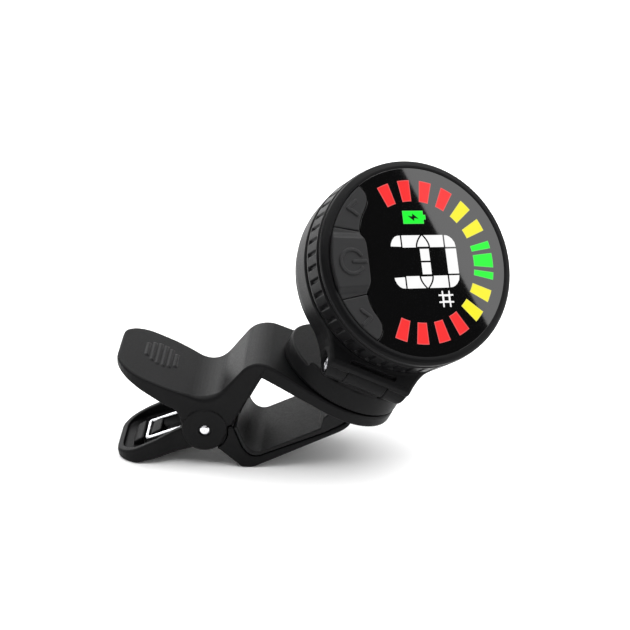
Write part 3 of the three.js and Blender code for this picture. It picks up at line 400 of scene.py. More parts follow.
def upper_arm(P):
    x, y, z = P.T
    sa, w, q = plat(P)
    rp = np.hypot(x, z)
    # softer edge along the valley, and the round boss standing proud of the side
    r = 0.32 + 0.12 * smooth(3.6, 6.5, rp) + 0.85 * np.exp(-((x - 1.2) / 3.6) ** 2) * smooth(3.6, 5.4, z)
    boss_step = 0.24 * smooth(4.26, 4.40, rp) * (1 - smooth(5.5, 9.5, rp))
    d = rmax(side_u(x, z), np.minimum(plan_u(x, y) + boss_step, plate(sa, w)), r)
    H = rmax(hole_side(x, z), hole_plan(x, y), 0.7)
    d = rmax(d, -H, 0.22)
    d = rmax(d, -rmax(recess(x, z), np.abs(y) - 7.7, 0.15), 0.15)
    rho = np.hypot(sa, w)
    d = rmax(d, 1.14 - np.hypot(x, z), 0.1)
    d = rmax(d, -np.minimum(rho - 1.5, np.maximum(rho - 2.9, q + PLATFORM_T - 1.15)), 0.1)
    # grip ridges on the thumb lever
    tt = (x - 1.36) * E_T[0] + (z - 5.63) * E_T[1]
    nn = (x - 1.36) * E_N[0] + (z - 5.63) * E_N[1]
    best = np.full(len(x), 9.0)
    for k, half in enumerate((2.2, 3.3, 3.8, 3.8, 3.3, 2.2)):
        t0 = 8.35 + 1.18 * k
        yy = y - 1.7
        dy = yy - np.clip(yy, -half, half)
        best = np.minimum(best, np.sqrt((tt - t0) ** 2 + dy * dy + (nn + 0.16) ** 2) - 0.42)
    d = np.where(best < 1.5, rmin(d, best, 0.16), d)
    return d


sdf_piece("upper_arm_moulding", upper_arm, (-17.2, -12.4, -4.5), (37.2, 12.4, 15.2), 0.27 * Q, CLIP, "upper_clip", "black_plastic", PLASTIC, "upper_arm")

pad_u = Poly(rounded([(7.35, 6.5, 0.2), (10.0, 11.78, 0.5), (11.15, 12.03, 0.3), (24.45, 5.62, 0.2), (24.0, 4.5, 0.5), (11.0, 10.75, 0.5), (8.4, 6.0, 0.35)]), res=0.06)


def upper_pad(P):
    x, y, z = P.T
    sa, w, q = plat(P)
    d = rmax(pad_u(x, z), np.abs(y) - 7.5, 0.28)
    # shallow grip channels across the pad
    g = np.abs(((sa + 20.35) % 2.4) - 1.2) - 0.28
    d = np.where((q < -PLATFORM_T - 0.6) & (x > 11.5), rmax(d, -rmax(g, q + PLATFORM_T + 1.12, 0.1), 0.1), d)
    return rmax(d, 3.1 - np.hypot(sa, w), 0.1)


sdf_piece("upper_jaw_pad_rubber", upper_pad, (7.2, -7.6, 4.2), (24.6, 7.6, 12.2), 0.22 * Q, CLIP, "upper_clip", "pad_rubber", PADS, "upper_jaw_pad")

lever_s = Poly(rounded([
    (-17.7, -6.75, 0.25), (-14.0, -5.15), (-4.5, -0.42, 3), (-2.6, 1.9, 1), (0, 3.4, 2), (2.6, 1.9), (3.4, 0), (3.4, -3.9), (-0.3, -3.95),
    (-1.6, -4.35), (-13.2, -PIVOT_Z, 1.5), (-17.1, -PIVOT_Z, 0.3)]))
lever_p = Poly(rounded([
    (-17.7, -FLARE_HALF, 5.4), (-9.6, -FLARE_HALF, 5), (-6.2, -LEVER_HALF, 4), (4.2, -LEVER_HALF), (4.2, LEVER_HALF), (-6.2, LEVER_HALF, 4), (-9.6, FLARE_HALF, 5), (-17.7, FLARE_HALF, 5.4)]))
tray_p = Poly(rounded([
    (-16.4, -7.3, 4.2), (-9.6, -7.3, 4), (-6.2, -6.4, 3), (3.0, -6.4), (3.0, 6.4), (-6.2, 6.4, 3), (-9.6, 7.3, 4), (-16.4, 7.3, 4.2)]))
tray_s = Poly([(-16.9, -6.9), (-13.4, -6.85), (-1.7, -3.2), (-0.5, -2.8), (2.9, -2.8), (2.9, 6), (-16.9, 6)])
rib1 = Poly(rounded([(-14.5, -7.3), (-12.6, -7.18), (-12.6, -5.28, 0.3), (-12.9, -5.08, 0.3), (-14.2, -5.88, 0.3), (-14.5, -6.18)], 4), res=0.06)
rib2 = Poly(rounded([(-11.1, -6.88), (-9.1, -6.28), (-9.1, -3.88, 0.3), (-9.4, -3.68, 0.3), (-10.8, -4.48, 0.3), (-11.1, -4.78)], 4), res=0.06)
jaw_s = Poly(rounded([
    (4.2, 0.62), (5.45, 0.72, 0.3), (7.05, -3.7, 3.0), (9.0, -6.05, 2.2), (22.6, -0.25), (27.0, 2.2), (27.9, 2.5, 0.25), (28.3, 1.8, 0.3),
    (27.3, 0.95, 0.5), (9.2, -PIVOT_Z, 3.0), (6.9, -PIVOT_Z, 1.2), (2.95, -4.35), (2.2, -3.95), (2.0, -2.9), (2.9, -1.0), (3.3, 0.5)]))
jaw_p = Poly(rounded([(2.0, -JAW_HALF), (28.3, -JAW_HALF, 3.0), (28.3, JAW_HALF, 3.0), (2.0, JAW_HALF)]))


def lower_arm(P):
    x, y, z = P.T
    ay = np.abs(y)
    lever = rmax(lever_s(x, z), lever_p(x, y), 0.42)
    lever = rmax(lever, -rmax(tray_s(x, z), tray_p(x, y), 0.5), 0.25)
    ribs = np.minimum(rmax(rib1(x, z), ay - 3.4, 0.2), rmax(rib2(x, z), ay - 2.5, 0.2))
    lever = rmin(lever, ribs, 0.15)
    jaw = rmax(jaw_s(x, z), jaw_p(x, y), 0.4)
    rho = np.hypot(x, z)
    jaw = rmax(jaw, -np.maximum(rho - 4.54, LEVER_HALF - ay), 0.1)
    jaw = rmax(jaw, -np.maximum(rho - 2.8, ay - 6.4), 0.12)
    d = rmin(lever, jaw, 0.12)
    return rmax(d, 1.14 - rho, 0.08)


sdf_piece("lower_arm_moulding", lower_arm, (-17.5, -9.2, -8.1), (28.6, 9.2, 3.6), 0.26 * Q, CLIP, "lower_clip", "black_plastic", PLASTIC, "lower_arm")

pad_l = Poly(rounded([
    (6.2, 0.85, 0.2), (7.75, -3.1, 4.0), (9.5, -5.05, 2.4), (22.0, 0.85, 0.6), (22.55, 3.1, 0.7), (23.9, 4.35, 0.55), (27.3, 2.75, 0.12),
    (27.0, 2.42), (22.55, -0.03), (9.0, -5.83, 2.2), (7.2, -3.6, 3.0), (5.6, 0.75)]), res=0.06)
pad_lp = Poly(rounded([(2.0, -JAW_HALF), (28.1, -JAW_HALF, 3.0), (28.1, JAW_HALF, 3.0), (2.0, JAW_HALF)]))


def lower_pad(P):
    x, y, z = P.T
    return rmax(pad_l(x, z), pad_lp(x, y), 0.28)


sdf_piece("lower_jaw_pad_rubber", lower_pad, (5.4, -9.1, -6.1), (27.6, 9.1, 4.5), 0.2 * Q, CLIP, "lower_clip", "pad_rubber", PADS, "lower_jaw_pad")

# pivot pin, slightly domed
ALONG_Y = CLIP @ frame4([0, 0, 1], [1, 0, 0], [0, 1, 0], [0, 0, 0])
pin = [(0.001, -9.2), (0.35, -9.19), (0.7, -9.13), (0.92, -9.02), (1.02, -8.85), (1.05, -8.6), (1.05, -4), (1.05, 0), (1.05, 4), (1.05, 8.6), (1.02, 8.85), (0.92, 9.02), (0.7, 9.13), (0.35, 9.19), (0.001, 9.2)]
V, F = lathe(pin, 48)
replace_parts(obj_from("pivot_pin_turned", V, F, ALONG_Y, "lower_clip", CHROME), "pivot_pin")


# torsion spring: a drawn wire swept along the CAD route
def sweep_wire(name, pts, radius, body, mat, world, per=8, sides=14):
    P = np.array(pts, float); n = len(P)
    out = []
    for i in range(n - 1):
        p0, p1, p2, p3 = P[max(i - 1, 0)], P[i], P[i + 1], P[min(i + 2, n - 1)]
        if i == 0: p0 = p1 + (p1 - p2)
        if i == n - 2: p3 = p2 + (p2 - p1)
        for k in range(per):
            u = k / per
            out.append(0.5 * (2 * p1 + (p2 - p0) * u + (2 * p0 - 5 * p1 + 4 * p2 - p3) * u * u + (3 * p1 - p0 - 3 * p2 + p3) * u ** 3))
    out.append(P[-1]); C = np.array(out)
    T = np.gradient(C, axis=0); T /= np.linalg.norm(T, axis=1)[:, None]
    nrm = np.cross(T[0], [0, 0, 1.0]); nrm /= np.linalg.norm(nrm)
    rings = []
    for i in range(len(C)):
        nrm = nrm - T[i] * (nrm @ T[i]); nrm /= np.linalg.norm(nrm)
        bn = np.cross(T[i], nrm)
        ang = np.arange(sides) * 2 * math.pi / sides
        rings.append((C[i], T[i], nrm, bn))
    verts, faces = [], []
    def ring(c, nv, bv, r):
        base = len(verts)
        for g in ang: verts.append(c + r * (math.cos(g) * nv + math.sin(g) * bv))
        return base
    idx = []
    c, tv, nv, bv = rings[0]
    for k in (3, 2, 1): idx.append(ring(c - tv * radius * 0.5 * math.sin(k * 30 * D), nv, bv, radius * max(math.cos(k * 30 * D), 0.02)))
    for c, tv, nv, bv in rings: idx.append(ring(c, nv, bv, radius))
    for k in (1, 2, 3): idx.append(ring(c + tv * radius * 0.5 * math.sin(k * 30 * D), nv, bv, radius * max(math.cos(k * 30 * D), 0.02)))
    for p, q in zip(idx[:-1], idx[1:]):
        for k in range(sides):
            k2 = (k + 1) % sides
            faces.append((p + k, p + k2, q + k2, q + k))
    faces.append(tuple(idx[0] + k for k in reversed(range(sides)))); faces.append(tuple(idx[-1] + k for k in range(sides)))
    return obj_from(name, np.array(verts), faces, world, body, mat)


COIL_R = 2.0
sp = []
def coil(y0, y1, f0, f1):
    k = math.ceil(abs(f1 - f0) / (math.pi / 8))
    for i in range(k + 1):
        g = f0 + (f1 - f0) * i / k
        sp.append((COIL_R * math.cos(g), y0 + (y1 - y0) * i / k, COIL_R * math.sin(g)))
coil(-5.57, -3.7, 130 * D, (-75 - 360) * D)
sp += [(-5.0, -3.4, -2.75), (-10.5, -3.35, -4.83), (-11.65, -3.2, -5.23), (-11.85, -2.4, -5.33), (-11.85, 0, -5.33), (-11.85, 2.4, -5.33), (-11.65, 3.2, -5.23), (-10.5, 3.35, -4.83), (-5.0, 3.4, -2.75)]
coil(3.7, 5.57, (-75 - 360) * D, 130 * D)
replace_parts(sweep_wire("torsion_spring_wire", sp, 0.4, "lower_clip", CHROME, CLIP), "torsion_spring")
for side, sg in (("near", -1), ("far", 1)):
    leg = [(-9.6, sg * 5.75, 7.4), (-6.2, sg * 5.75, 4.7)] + [(COIL_R * math.cos(g * D), sg * (5.6 - (140 - g) * 0.0033), COIL_R * math.sin(g * D)) for g in (140, 125, 110, 97)]
    sweep_wire("torsion_spring_leg_" + side, leg, 0.385, "upper_clip", CHROME, CLIP)

# ------------------------------------------------------------------ turntable
KN_VIS = 4.05
step_yz = Poly(rounded([(13, 0.3), (13, BASE_TOP), (-7.4, BASE_TOP, 0.25), (-7.4, 4.6, 0.3), (-13, 4.6), (-13, 0.3)]))
root_yz = Poly(rounded([(-HINGE_OFF + 2.3, 2.0), (-HINGE_OFF + 2.3, HINGE_H), (-HINGE_OFF - 1.6, HINGE_H), (-11.9, 4.7), (-11.4, 2.0)]))


def swivel_base(P):
    x, y, z = P.T
    rho = np.hypot(x, y)
    d = rmax(rho - PLATFORM_R, step_yz(y, z), 0.42)
    hb = np.hypot(y + HINGE_OFF, z - HINGE_H)
    d = rmax(d, -np.maximum(hb - (BARREL_R + 0.35), KN_VIS - np.abs(x)), 0.12)
    d = rmin(d, np.maximum(np.maximum(root_yz(y, z), np.abs(x) - KN_VIS), rho - PLATFORM_R + 0.1), 0.2)
    d = np.minimum(d, rmax(hb - BARREL_R, np.abs(x) - KN_VIS, 0.1))
    d = rmax(d, 0.95 - hb, 0.05)
    return rmax(d, -np.maximum(rho - 1.3, z - 2.4), 0.05)


sdf_piece("swivel_base_moulding", swivel_base, (-12.3, -13.8, 0.1), (12.3, 12.3, 10.0), 0.25 * Q, SWIVEL, "turntable", "black_plastic", PLASTIC, "swivel_base")

# ------------------------------------------------------------------ yoke
collar_p = Poly(rounded([
    (COLLAR_BORE, -COLLAR_FRONT, 0.2), (COLLAR_R0, -COLLAR_FRONT, 0.35), (COLLAR_R1 + 0.35, -COLLAR_BACK + 1.6, 3), (COLLAR_R1, -COLLAR_BACK, 0.6), (COLLAR_BORE, -COLLAR_BACK, 0.2)]), res=0.08)
half_y = np.array([-13.5, -15.0, -16.3, -17.5, -18.7, -20.0, -21.2, -23.6])[::-1]
half_x = np.array([12.8, 11.75, 10.75, 9.95, 9.35, 8.9, 8.6, BARREL_HALF])[::-1]
by, bz = -HEAD_UP, -HEAD_OUT
neck_p = Poly(rounded([
    (-12.5, -COLLAR_FRONT), (-20.9, -COLLAR_FRONT, 0.4), (-21.7, -7.75, 0.6), (-22.2, -8.35),
    *[(by + BARREL_R * math.cos((120 + i * 7.13) * D), bz + BARREL_R * math.sin((120 + i * 7.13) * D)) for i in range(22)],
    (-19.0, -14.0, 0.8), (-17.6, -COLLAR_BACK + 0.1, 0.6), (-12.5, -COLLAR_BACK + 0.1)]), res=0.08)


def yoke(P):
    x, y, z = P.T
    rho = np.hypot(x, y)
    col = collar_p(rho, z)
    ins = np.interp(z, [-16, -13.9, -10.2, -8.3, -7.7, -6.6], [1.05, 0.55, 0.0, 0.05, 0.25, 1.1])
    hw = np.interp(y, half_y, half_x) - ins
    neck = rmax(neck_p(y, z), (np.abs(x) - hw) * 0.86, 0.32)
    neck = np.maximum(neck, COLLAR_BORE + 0.5 - rho)
    d = rmin(neck, col, 0.5)
    d = np.maximum(d, COLLAR_BORE - rho)
    kh = KN_VIS + 0.14
    hb = np.hypot(y - by, z - bz)
    ax = np.abs(x) - kh
    c1 = np.maximum(hb - (BARREL_R + 0.3), ax)
    c2 = np.maximum(np.maximum(y - (by + 2.65), z - bz), np.maximum(ax, bz - 7 - z))
    c3 = np.maximum(np.maximum(y - (by - 1.15), z - (bz + 6)), np.maximum(ax, bz - 7 - z))
    d = rmax(d, -np.minimum(np.minimum(c1, c2), c3), 0.15)
    pk = np.maximum(np.abs(y + 20.25) - 0.3, np.maximum(np.abs(x) - 4.6, -COLLAR_FRONT - 0.5 - z))
    d = rmax(d, -pk, 0.1)
    d = rmax(d, 0.95 - hb, 0.05)
    return rmax(d, -np.maximum(hb - 1.95, (BARREL_HALF - 1.2) - np.abs(x)), 0.08)


sdf_piece("yoke_moulding", yoke, (-20, -23.8, -15.2), (20, 20, -7.2), 0.26 * Q, HEAD, "yoke", "black_plastic", PLASTIC, "yoke")


def cross_screw(name, head_r, head_top, head_bottom, shaft_r, shaft_end, world, body, node, cell=0.09):
    """A countersunk-look machine screw with a cross recess; its own z points out of the head."""
    prof = Poly(rounded([(-head_r, head_top), (head_r * 0.72, head_top, 0.3), (head_r, head_top - 0.28, 0.12), (head_r, head_bottom, 0.08), (shaft_r, head_bottom), (shaft_r, shaft_end), (-shaft_r, shaft_end), (-head_r, shaft_end)]), res=0.05)

    def f(P):
        x, y, z = P.T
        rho = np.hypot(x, y)
        d = np.where(z > head_bottom - 0.3, prof(rho, z), prof(rho, z))
        deep = (z - (head_top - 0.55))
        slot1 = np.maximum(np.abs(x) - 0.2 - 0.12 * np.clip(deep, 0, 1), np.abs(y) - head_r * 0.66)
        slot2 = np.maximum(np.abs(y) - 0.2 - 0.12 * np.clip(deep, 0, 1), np.abs(x) - head_r * 0.66)
        return rmax(d, -np.maximum(np.minimum(slot1, slot2), -deep), 0.06)
    lo = (-head_r - 0.1, -head_r - 0.1, shaft_end - 0.1)
    return sdf_piece(name, f, lo, (head_r + 0.1, head_r + 0.1, head_top + 0.1), cell * Q, world, body, "screw_steel", STEEL, node)


for side, sg in (("left", -1), ("right", 1)):
    W = HEAD @ frame4([0, 1, 0], [0, 0, sg], [sg, 0, 0], [0, by, bz])
    cross_screw("hinge_screw_" + side + "_plated", 1.84, BARREL_HALF - 0.1, BARREL_HALF - 1.05, 0.68, 1.6, W, "yoke", "hinge_screw_" + side)

# ------------------------------------------------------------------ display head
n_rib = 48
ring = rounded([
    (GLASS_R + 0.12, -1.55), (GLASS_R + 0.12, -0.3, 0.05), (GLASS_R + 0.05, -0.25), (GLASS_R + 0.05, 0.03, 0.04), (GLASS_R + 0.55, 0.05, 0.3), (GLASS_R + 1.1, -0.06, 0.8), (RIM_R - 0.1, -0.45, 0.5), (RIM_R, -1.1, 0.3), (RIM_R - 0.12, -1.5, 0.15),
    (RIM_R - 0.42, -1.62, 0.1), (RIM_R - 0.42, -1.78, 0.06), (KNURL_R - 0.05, -1.9, 0.08)], 5)[:-1]
ring += [(KNURL_R, -2.05), (KNURL_R, -2.2)]
zs = [-2.32, -2.4, -2.48, -2.6, -3.2, -4.0, -4.8, -5.4, -5.75, -5.87, -5.95, -6.07]
ring += [(KNURL_R, z) for z in zs]
ring += rounded([(KNURL_R, -6.2), (KNURL_R, -6.35), (KNURL_R - 0.2, -KNURL_BACK, 0.25), (16.9, -KNURL_BACK), (16.9, -1.55)], 4)[0:]


def knurl(th, R, Z):
    ph = (th / (2 * math.pi) * n_rib) % 1.0
    wave = smooth(0.0, 0.06, ph) * (1 - smooth(0.72, 0.79, ph))
    depth = smooth(-6.07, -5.87, Z) * (1 - smooth(-2.48, -2.32, Z)) * (R > 19.2)
    return R - 0.38 * (1 - wave) * depth


V, F = lathe(ring, n_rib * 20, knurl)
bz_ob = obj_from("knurled_bezel_ring", V, F[:, ::-1], FACE, "display_head", BEZEL)
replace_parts(bz_ob, "knurled_bezel")

wavy = [(-14.5, -10.3), (-13.6, -9.45), (-12.6, -9.02), (-11.5, -8.98), (-10.3, -9.45), (-9.0, -10.25), (-7.6, -10.85), (-6.2, -11.12), (-5.0, -11.0), (-4.0, -10.6), (-2.8, -10.42)]
ctrl = [*wavy, (0, -10.38), *[(-x, y) for x, y in reversed(wavy)]]


def spline(pts, per=8):
    P = np.array(pts, float); out = []
    for i in range(len(P) - 1):
        p0, p1, p2, p3 = P[max(i - 1, 0)], P[i], P[i + 1], P[min(i + 2, len(P) - 1)]
        for k in range(per):
            u = k / per
            out.append(0.5 * (2 * p1 + (p2 - p0) * u + (2 * p0 - 5 * p1 + 4 * p2 - p3) * u * u + (3 * p1 - p0 - 3 * p2 + p3) * u ** 3))
    out.append(P[-1])
    return np.array(out)


edge = spline(ctrl)
edge_x, edge_y = edge[:, 0], edge[:, 1]
order = np.argsort(edge_x)
edge_x, edge_y = edge_x[order], edge_y[order]
slope_e = np.gradient(edge_y, edge_x)


def edge_dist(x, y):
    """Above the glass edge is positive."""
    return (y - np.interp(x, edge_x, edge_y)) / np.sqrt(1 + np.interp(x, edge_x, slope_e) ** 2)


def offset(pts, d):
    """The outline moved inwards by d (outline anticlockwise)."""
    P = np.array(pts, float)
    A, B = P - np.roll(P, 1, 0), np.roll(P, -1, 0) - P
    A /= np.linalg.norm(A, axis=1)[:, None]; B /= np.linalg.norm(B, axis=1)[:, None]
    nA, nB = np.stack([-A[:, 1], A[:, 0]], 1), np.stack([-B[:, 1], B[:, 0]], 1)
    m = nA + nB; L = np.maximum((m * m).sum(1), 0.5)
    return P + d * 2 * m / L[:, None]


def ccw(pts):
    P = np.array(pts, float)
    ar = 0.5 * np.sum(P[:, 0] * np.roll(P[:, 1], -1) - np.roll(P[:, 0], -1) * P[:, 1])
    return P if ar > 0 else P[::-1]


# window: flat polished plate with a small rounded edge
R0 = GLASS_R + 0.02
n_c = 240
col_x = -R0 * np.cos(np.pi * np.arange(n_c + 1) / n_c)
arc_y = np.sqrt(np.maximum(R0 * R0 - col_x ** 2, 0))
low_y = np.where(np.abs(col_x) <= 14.5, np.maximum(np.interp(col_x, edge_x, edge_y) + 0.06, -arc_y), -arc_y)
lens_o = [(x, y) for x, y in zip(col_x, low_y)] + [(col_x[i], arc_y[i]) for i in range(n_c - 1, 0, -1)]
rings = [(0.0, -1.25), (0.0, -0.05), (0.01, -0.02), (0.025, -0.006), (0.05, 0.0)]
verts = []; faces = []; n_o = len(lens_o)
for d_, z_ in rings:
    verts += [(p[0], p[1], z_) for p in offset(lens_o, d_)]
for i in range(len(rings) - 1):
    for j in range(n_o):
        j2 = (j + 1) % n_o
        faces.append((i * n_o + j, i * n_o + j2, (i + 1) * n_o + j2, (i + 1) * n_o + j))
def up_i(i): return i if i in (0, n_c) else 2 * n_c - i
for base, turn in (((len(rings) - 1) * n_o, False), (0, True)):
    for i in range(n_c):
        q = [base + i, base + i + 1, base + up_i(i + 1), base + up_i(i)]
        q = list(dict.fromkeys(q))
        faces.append(tuple(reversed(q)) if turn else tuple(q))
lens = obj_from("display_window", np.array(verts), faces, FACE, "display_head", GLASS, smooth_shade=False)
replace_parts(lens, "display_lens")

# lit marks, flush with the window
RED, YEL, GRN, WHT = (1.0, 0.038, 0.04), (1.0, 0.93, 0.035), (0.02, 1.0, 0.045), (1.0, 1.0, 1.0)
marks = []
def bar(ang, half, col, r0=11.45, r1=15.5):
    A0, A1 = (90 - ang - half) * D, (90 - ang + half) * D
    pts = [(r1 * math.cos(A0 + (A1 - A0) * i / 6), r1 * math.sin(A0 + (A1 - A0) * i / 6)) for i in range(7)]
    pts += [(r0 * math.cos(A1 + (A0 - A1) * i / 6), r0 * math.sin(A1 + (A0 - A1) * i / 6)) for i in range(7)]
    marks.append((pts, col, 0.16))
bar(0, 5.2, GRN)
for sg in (1, -1):
    bar(sg * 11.3, 2.7, GRN)
    for q_ in (26.4, 43.5): bar(sg * q_, 4.6, YEL)
    for q_ in (60.5, 77.5, 94.4, 111): bar(sg * q_, 4.6, RED)
G = 0.065
def arch(y_sign, n=14):
    """Upper or lower edge of the pointed arch between legs, from its base to its tip."""
    out = []
    base, tip = (2.72, 2.5 if y_sign > 0 else 0.0), (5.09, 1.25)
    for i in range(n + 1):
        u = i / n
        x = base[0] + (tip[0] - base[0]) * u
        y = tip[1] + (base[1] - tip[1]) * (1 - u ** 1.9)
        out.append((x, y))
    return out
def mirror(pts, sg): return [(sg * x, y) for x, y in pts]
marks.append(([(-2.48, 5.75), (2.48, 5.75), (2.48, 8.17), (-2.48, 8.17)], WHT, 0))
for sg in (1, -1):
    marks.append((mirror([(2.6, 5.8), (5.06, 5.8), (5.0, 6.45), (4.76, 7.0), (4.3, 7.55), (3.6, 8.0), (2.6, 8.18)], sg), WHT, 0))
    up_, lo_ = arch(1), arch(-1)
    marks.append((mirror(up_[:-1] + [(5.06, 1.25)] + lo_[:-1][::-1], sg), WHT, 0))
    marks.append((mirror([(2.6, 5.68), (2.6, 2.62)] + [(x, y + 0.13) for x, y in up_[1:]] + [(5.09, 5.68)], sg), WHT, 0))
    marks.append((mirror([(2.6, -3.03), (5.09, -3.03)] + [(x, y - 0.13) for x, y in lo_[::-1][:-1]] + [(2.6, -0.12)], sg), WHT, 0))
    marks.append((mirror([(2.76, -3.14), (5.08, -3.14), (5.02, -3.9), (4.75, -4.5), (4.2, -5.0), (3.5, -5.34), (2.86, -5.46)], sg), WHT, 0))
marks.append(([(-2.5, 0.42), (-0.07, 0.42), (-0.07, 2.48), (-2.5, 2.48)], WHT, 0))
marks.append(([(0.07, 0.42), (2.5, 0.42), (2.5, 2.48), (0.07, 2.48)], WHT, 0))
# battery and sharp sign
marks.append(([(-9.65, -2.15), (-7.17, -2.15), (-7.17, 2.1), (-7.95, 2.1), (-7.95, 2.55), (-8.87, 2.55), (-8.87, 2.1), (-9.65, 2.1)], GRN, 0.1))
sh = [(6.4, 3.1, 6.3, "v"), (7.7, 3.1, 6.3, "v"), (4.05, 5.6, 8.75, "h"), (5.45, 5.35, 8.5, "h")]
w2 = 0.25
marks.append(([(6.15, 3.1), (6.65, 3.1), (6.65, 3.8), (7.45, 3.8), (7.45, 3.1), (7.95, 3.1), (7.95, 3.8), (8.75, 3.8), (8.75, 4.3), (7.95, 4.3), (7.95, 5.2), (8.75, 5.2), (8.75, 5.7), (7.95, 5.7), (7.95, 6.35), (7.45, 6.35), (7.45, 5.7), (6.65, 5.7), (6.65, 6.35), (6.15, 6.35), (6.15, 5.7), (5.5, 5.7), (5.5, 5.2), (6.15, 5.2), (6.15, 4.3), (5.5, 4.3), (5.5, 3.8), (6.15, 3.8)], WHT, 0))
sharp_hole = [(6.65, 4.3), (7.45, 4.3), (7.45, 5.2), (6.65, 5.2)]
bolt = [(-8.41 + bx, by_) for bx, by_ in ((0.3, 1.1), (-0.72, -0.12), (-0.14, -0.2), (-0.3, -1.1), (0.72, 0.12), (0.14, 0.2))]

verts, faces, tints = [], [], []
def add_mark(pts, col, rim, z=0.012, depth=0.06):
    P = ccw(pts); n = len(P); base = len(verts)
    if col is WHT: P = offset(P, 0.1)
    bright = tuple(min(1.0, c * 0.80 + 0.10) for c in col) if rim else col
    layers = [(P, z - depth, bright), (P, z, bright)]
    if rim: layers += [(offset(P, rim * 0.6), z, bright), (offset(P, rim), z, col)]
    for pp, zz, cc in layers:
        for q in pp: verts.append((q[0], q[1], zz)); tints.append((*cc, 1.0))
    for i in range(len(layers) - 1):
        for j in range(n):
            j2 = (j + 1) % n
            faces.append((base + i * n + j, base + i * n + j2, base + (i + 1) * n + j2, base + (i + 1) * n + j))
    faces.append(tuple(base + (len(layers) - 1) * n + j for j in range(n)))
    faces.append(tuple(base + j for j in reversed(range(n))))
for pts, col, rim in marks: add_mark(pts, col, rim)
for pts in (bolt, sharp_hole): add_mark(pts, (0.004, 0.004, 0.004), 0, z=0.02)
obj_from("lit_display_marks", np.array(verts), faces, FACE, "display_head", LIT, smooth_shade=False, attrs={"tint": ("FLOAT_COLOR", tints)})


# keys
def seg_dist(x, y, x0, y0, x1, y1):
    ex, ey = x1 - x0, y1 - y0
    u = np.clip(((x - x0) * ex + (y - y0) * ey) / (ex * ex + ey * ey), 0, 1)
    return np.hypot(x - x0 - u * ex, y - y0 - u * ey)


def key_shape(kind):
    def f(P):
        x, y, z = P.T
        rho = np.hypot(x, y)
        out = rmax(rho - (GLASS_R - 0.1), edge_dist(x, y) + 0.1, 0.15)
        ax = np.abs(x)
        k = np.clip((y + 17.5) / 7.0, 0, 1)
        if kind == "power":
            gap = (ax - (6.9 - 1.25 * k)) * 0.98
            top = 0.14 + 0.74 * (1 - smooth(0, 1, (ax - (4.5 - 0.3 * k)) / 1.35))
            out = rmax(out, gap, 0.1)
        else:
            sx = x if kind == "up" else -x
            out = rmax(out, ((7.0 - 1.25 * k) - sx) * 0.98, 0.1)
            top = 0.14
        d = rmax(out, (z - top) * 0.95, 0.22)
        d = np.maximum(d, -0.97 - z)
        if kind == "power":
            cx, cy = -0.05, -13.9
            r_ = np.hypot(x - cx, y - cy)
            an = np.degrees(np.arctan2(x - cx, y - cy))
            arc = np.where(np.abs(an) > 33, np.abs(r_ - 2.2), np.minimum(np.hypot(x - cx - 2.2 * math.sin(33 * D), y - cy - 2.2 * math.cos(33 * D)), np.hypot(x - cx + 2.2 * math.sin(33 * D), y - cy - 2.2 * math.cos(33 * D))))
            sym = np.minimum(arc, seg_dist(x, y, cx, cy + 0.3, cx, cy + 2.75))
            h = 1.12
        elif kind == "down":
            sym = np.minimum(seg_dist(x, y, -10.2, -13.1, -11.5, -11.45), seg_dist(x, y, -10.2, -13.1, -8.9, -11.3))
            h = 0.4
        else:
            sym = np.minimum(seg_dist(x, y, 10.1, -11.1, 8.8, -12.8), seg_dist(x, y, 10.1, -11.1, 11.35, -12.8))
            h = 0.4
        mark = rmax(sym - 0.31, z - h, 0.12)
        mark = np.maximum(mark, -z)
        return np.where(mark < 1.5, rmin(d, mark, 0.1), d)
    return f


for kind, lo_, hi_ in (("down", (-17.2, -17.6, -1.2), (-4.8, -8.7, 0.8)), ("power", (-7.3, -17.9, -1.2), (7.3, -10.1, 1.3)), ("up", (4.8, -17.6, -1.2), (17.2, -8.7, 0.8))):
    sdf_piece("button_" + kind + "_cap", key_shape(kind), lo_, hi_, 0.13 * Q, FACE, "key_" + kind, "key_rubber", KEYS, "button_" + kind)

# rear housing
cup_p = Poly(rounded([
    (14.9, -7.45, 0.2), (16.3, -7.45, 0.3), (16.3, -10.2), (15.55, -10.35), (15.55, -11.55), (16.3, -11.7), (16.3, -COLLAR_BACK - 0.28, 0.2),
    (18.3, -COLLAR_BACK - 0.28, 0.25), (18.25, -BACK_FACE + 0.3, 0.3), (17.5, -BACK_FACE, 0.6), (-18, -BACK_FACE), (-18, -14.0), (14.9, -14.0, 0.3)]), res=0.08)
usb_p = Poly(rounded([(-4.8, -10.7, 1.6), (4.8, -10.7, 1.6), (4.8, -6.9, 1.6), (-4.8, -6.9, 1.6)]), res=0.08)
boss = [(13.3 * math.cos((90 + 120 * i) * D), 13.3 * math.sin((90 + 120 * i) * D)) for i in range(3)]


def rear(P):
    x, y, z = P.T
    rho = np.hypot(x, y)
    d = cup_p(rho, z)
    for bx_, by_ in boss:
        r_ = np.hypot(x - bx_, y - by_)
        d = rmin(d, np.maximum(r_ - 1.75, np.maximum(z + 7.47, -14.2 - z)), 0.2)
        d = rmax(d, -np.minimum(r_ - 0.9, np.maximum(r_ - 1.7, z + 14.6)), 0.12)
    d = rmax(d, -np.maximum(usb_p(x, y), z + 13.0), 0.2)
    # shallow ring groove on the back face
    d = rmax(d, -np.maximum(np.abs(rho - 10.4) - 0.22, z + BACK_FACE - 0.25), 0.1)
    return d


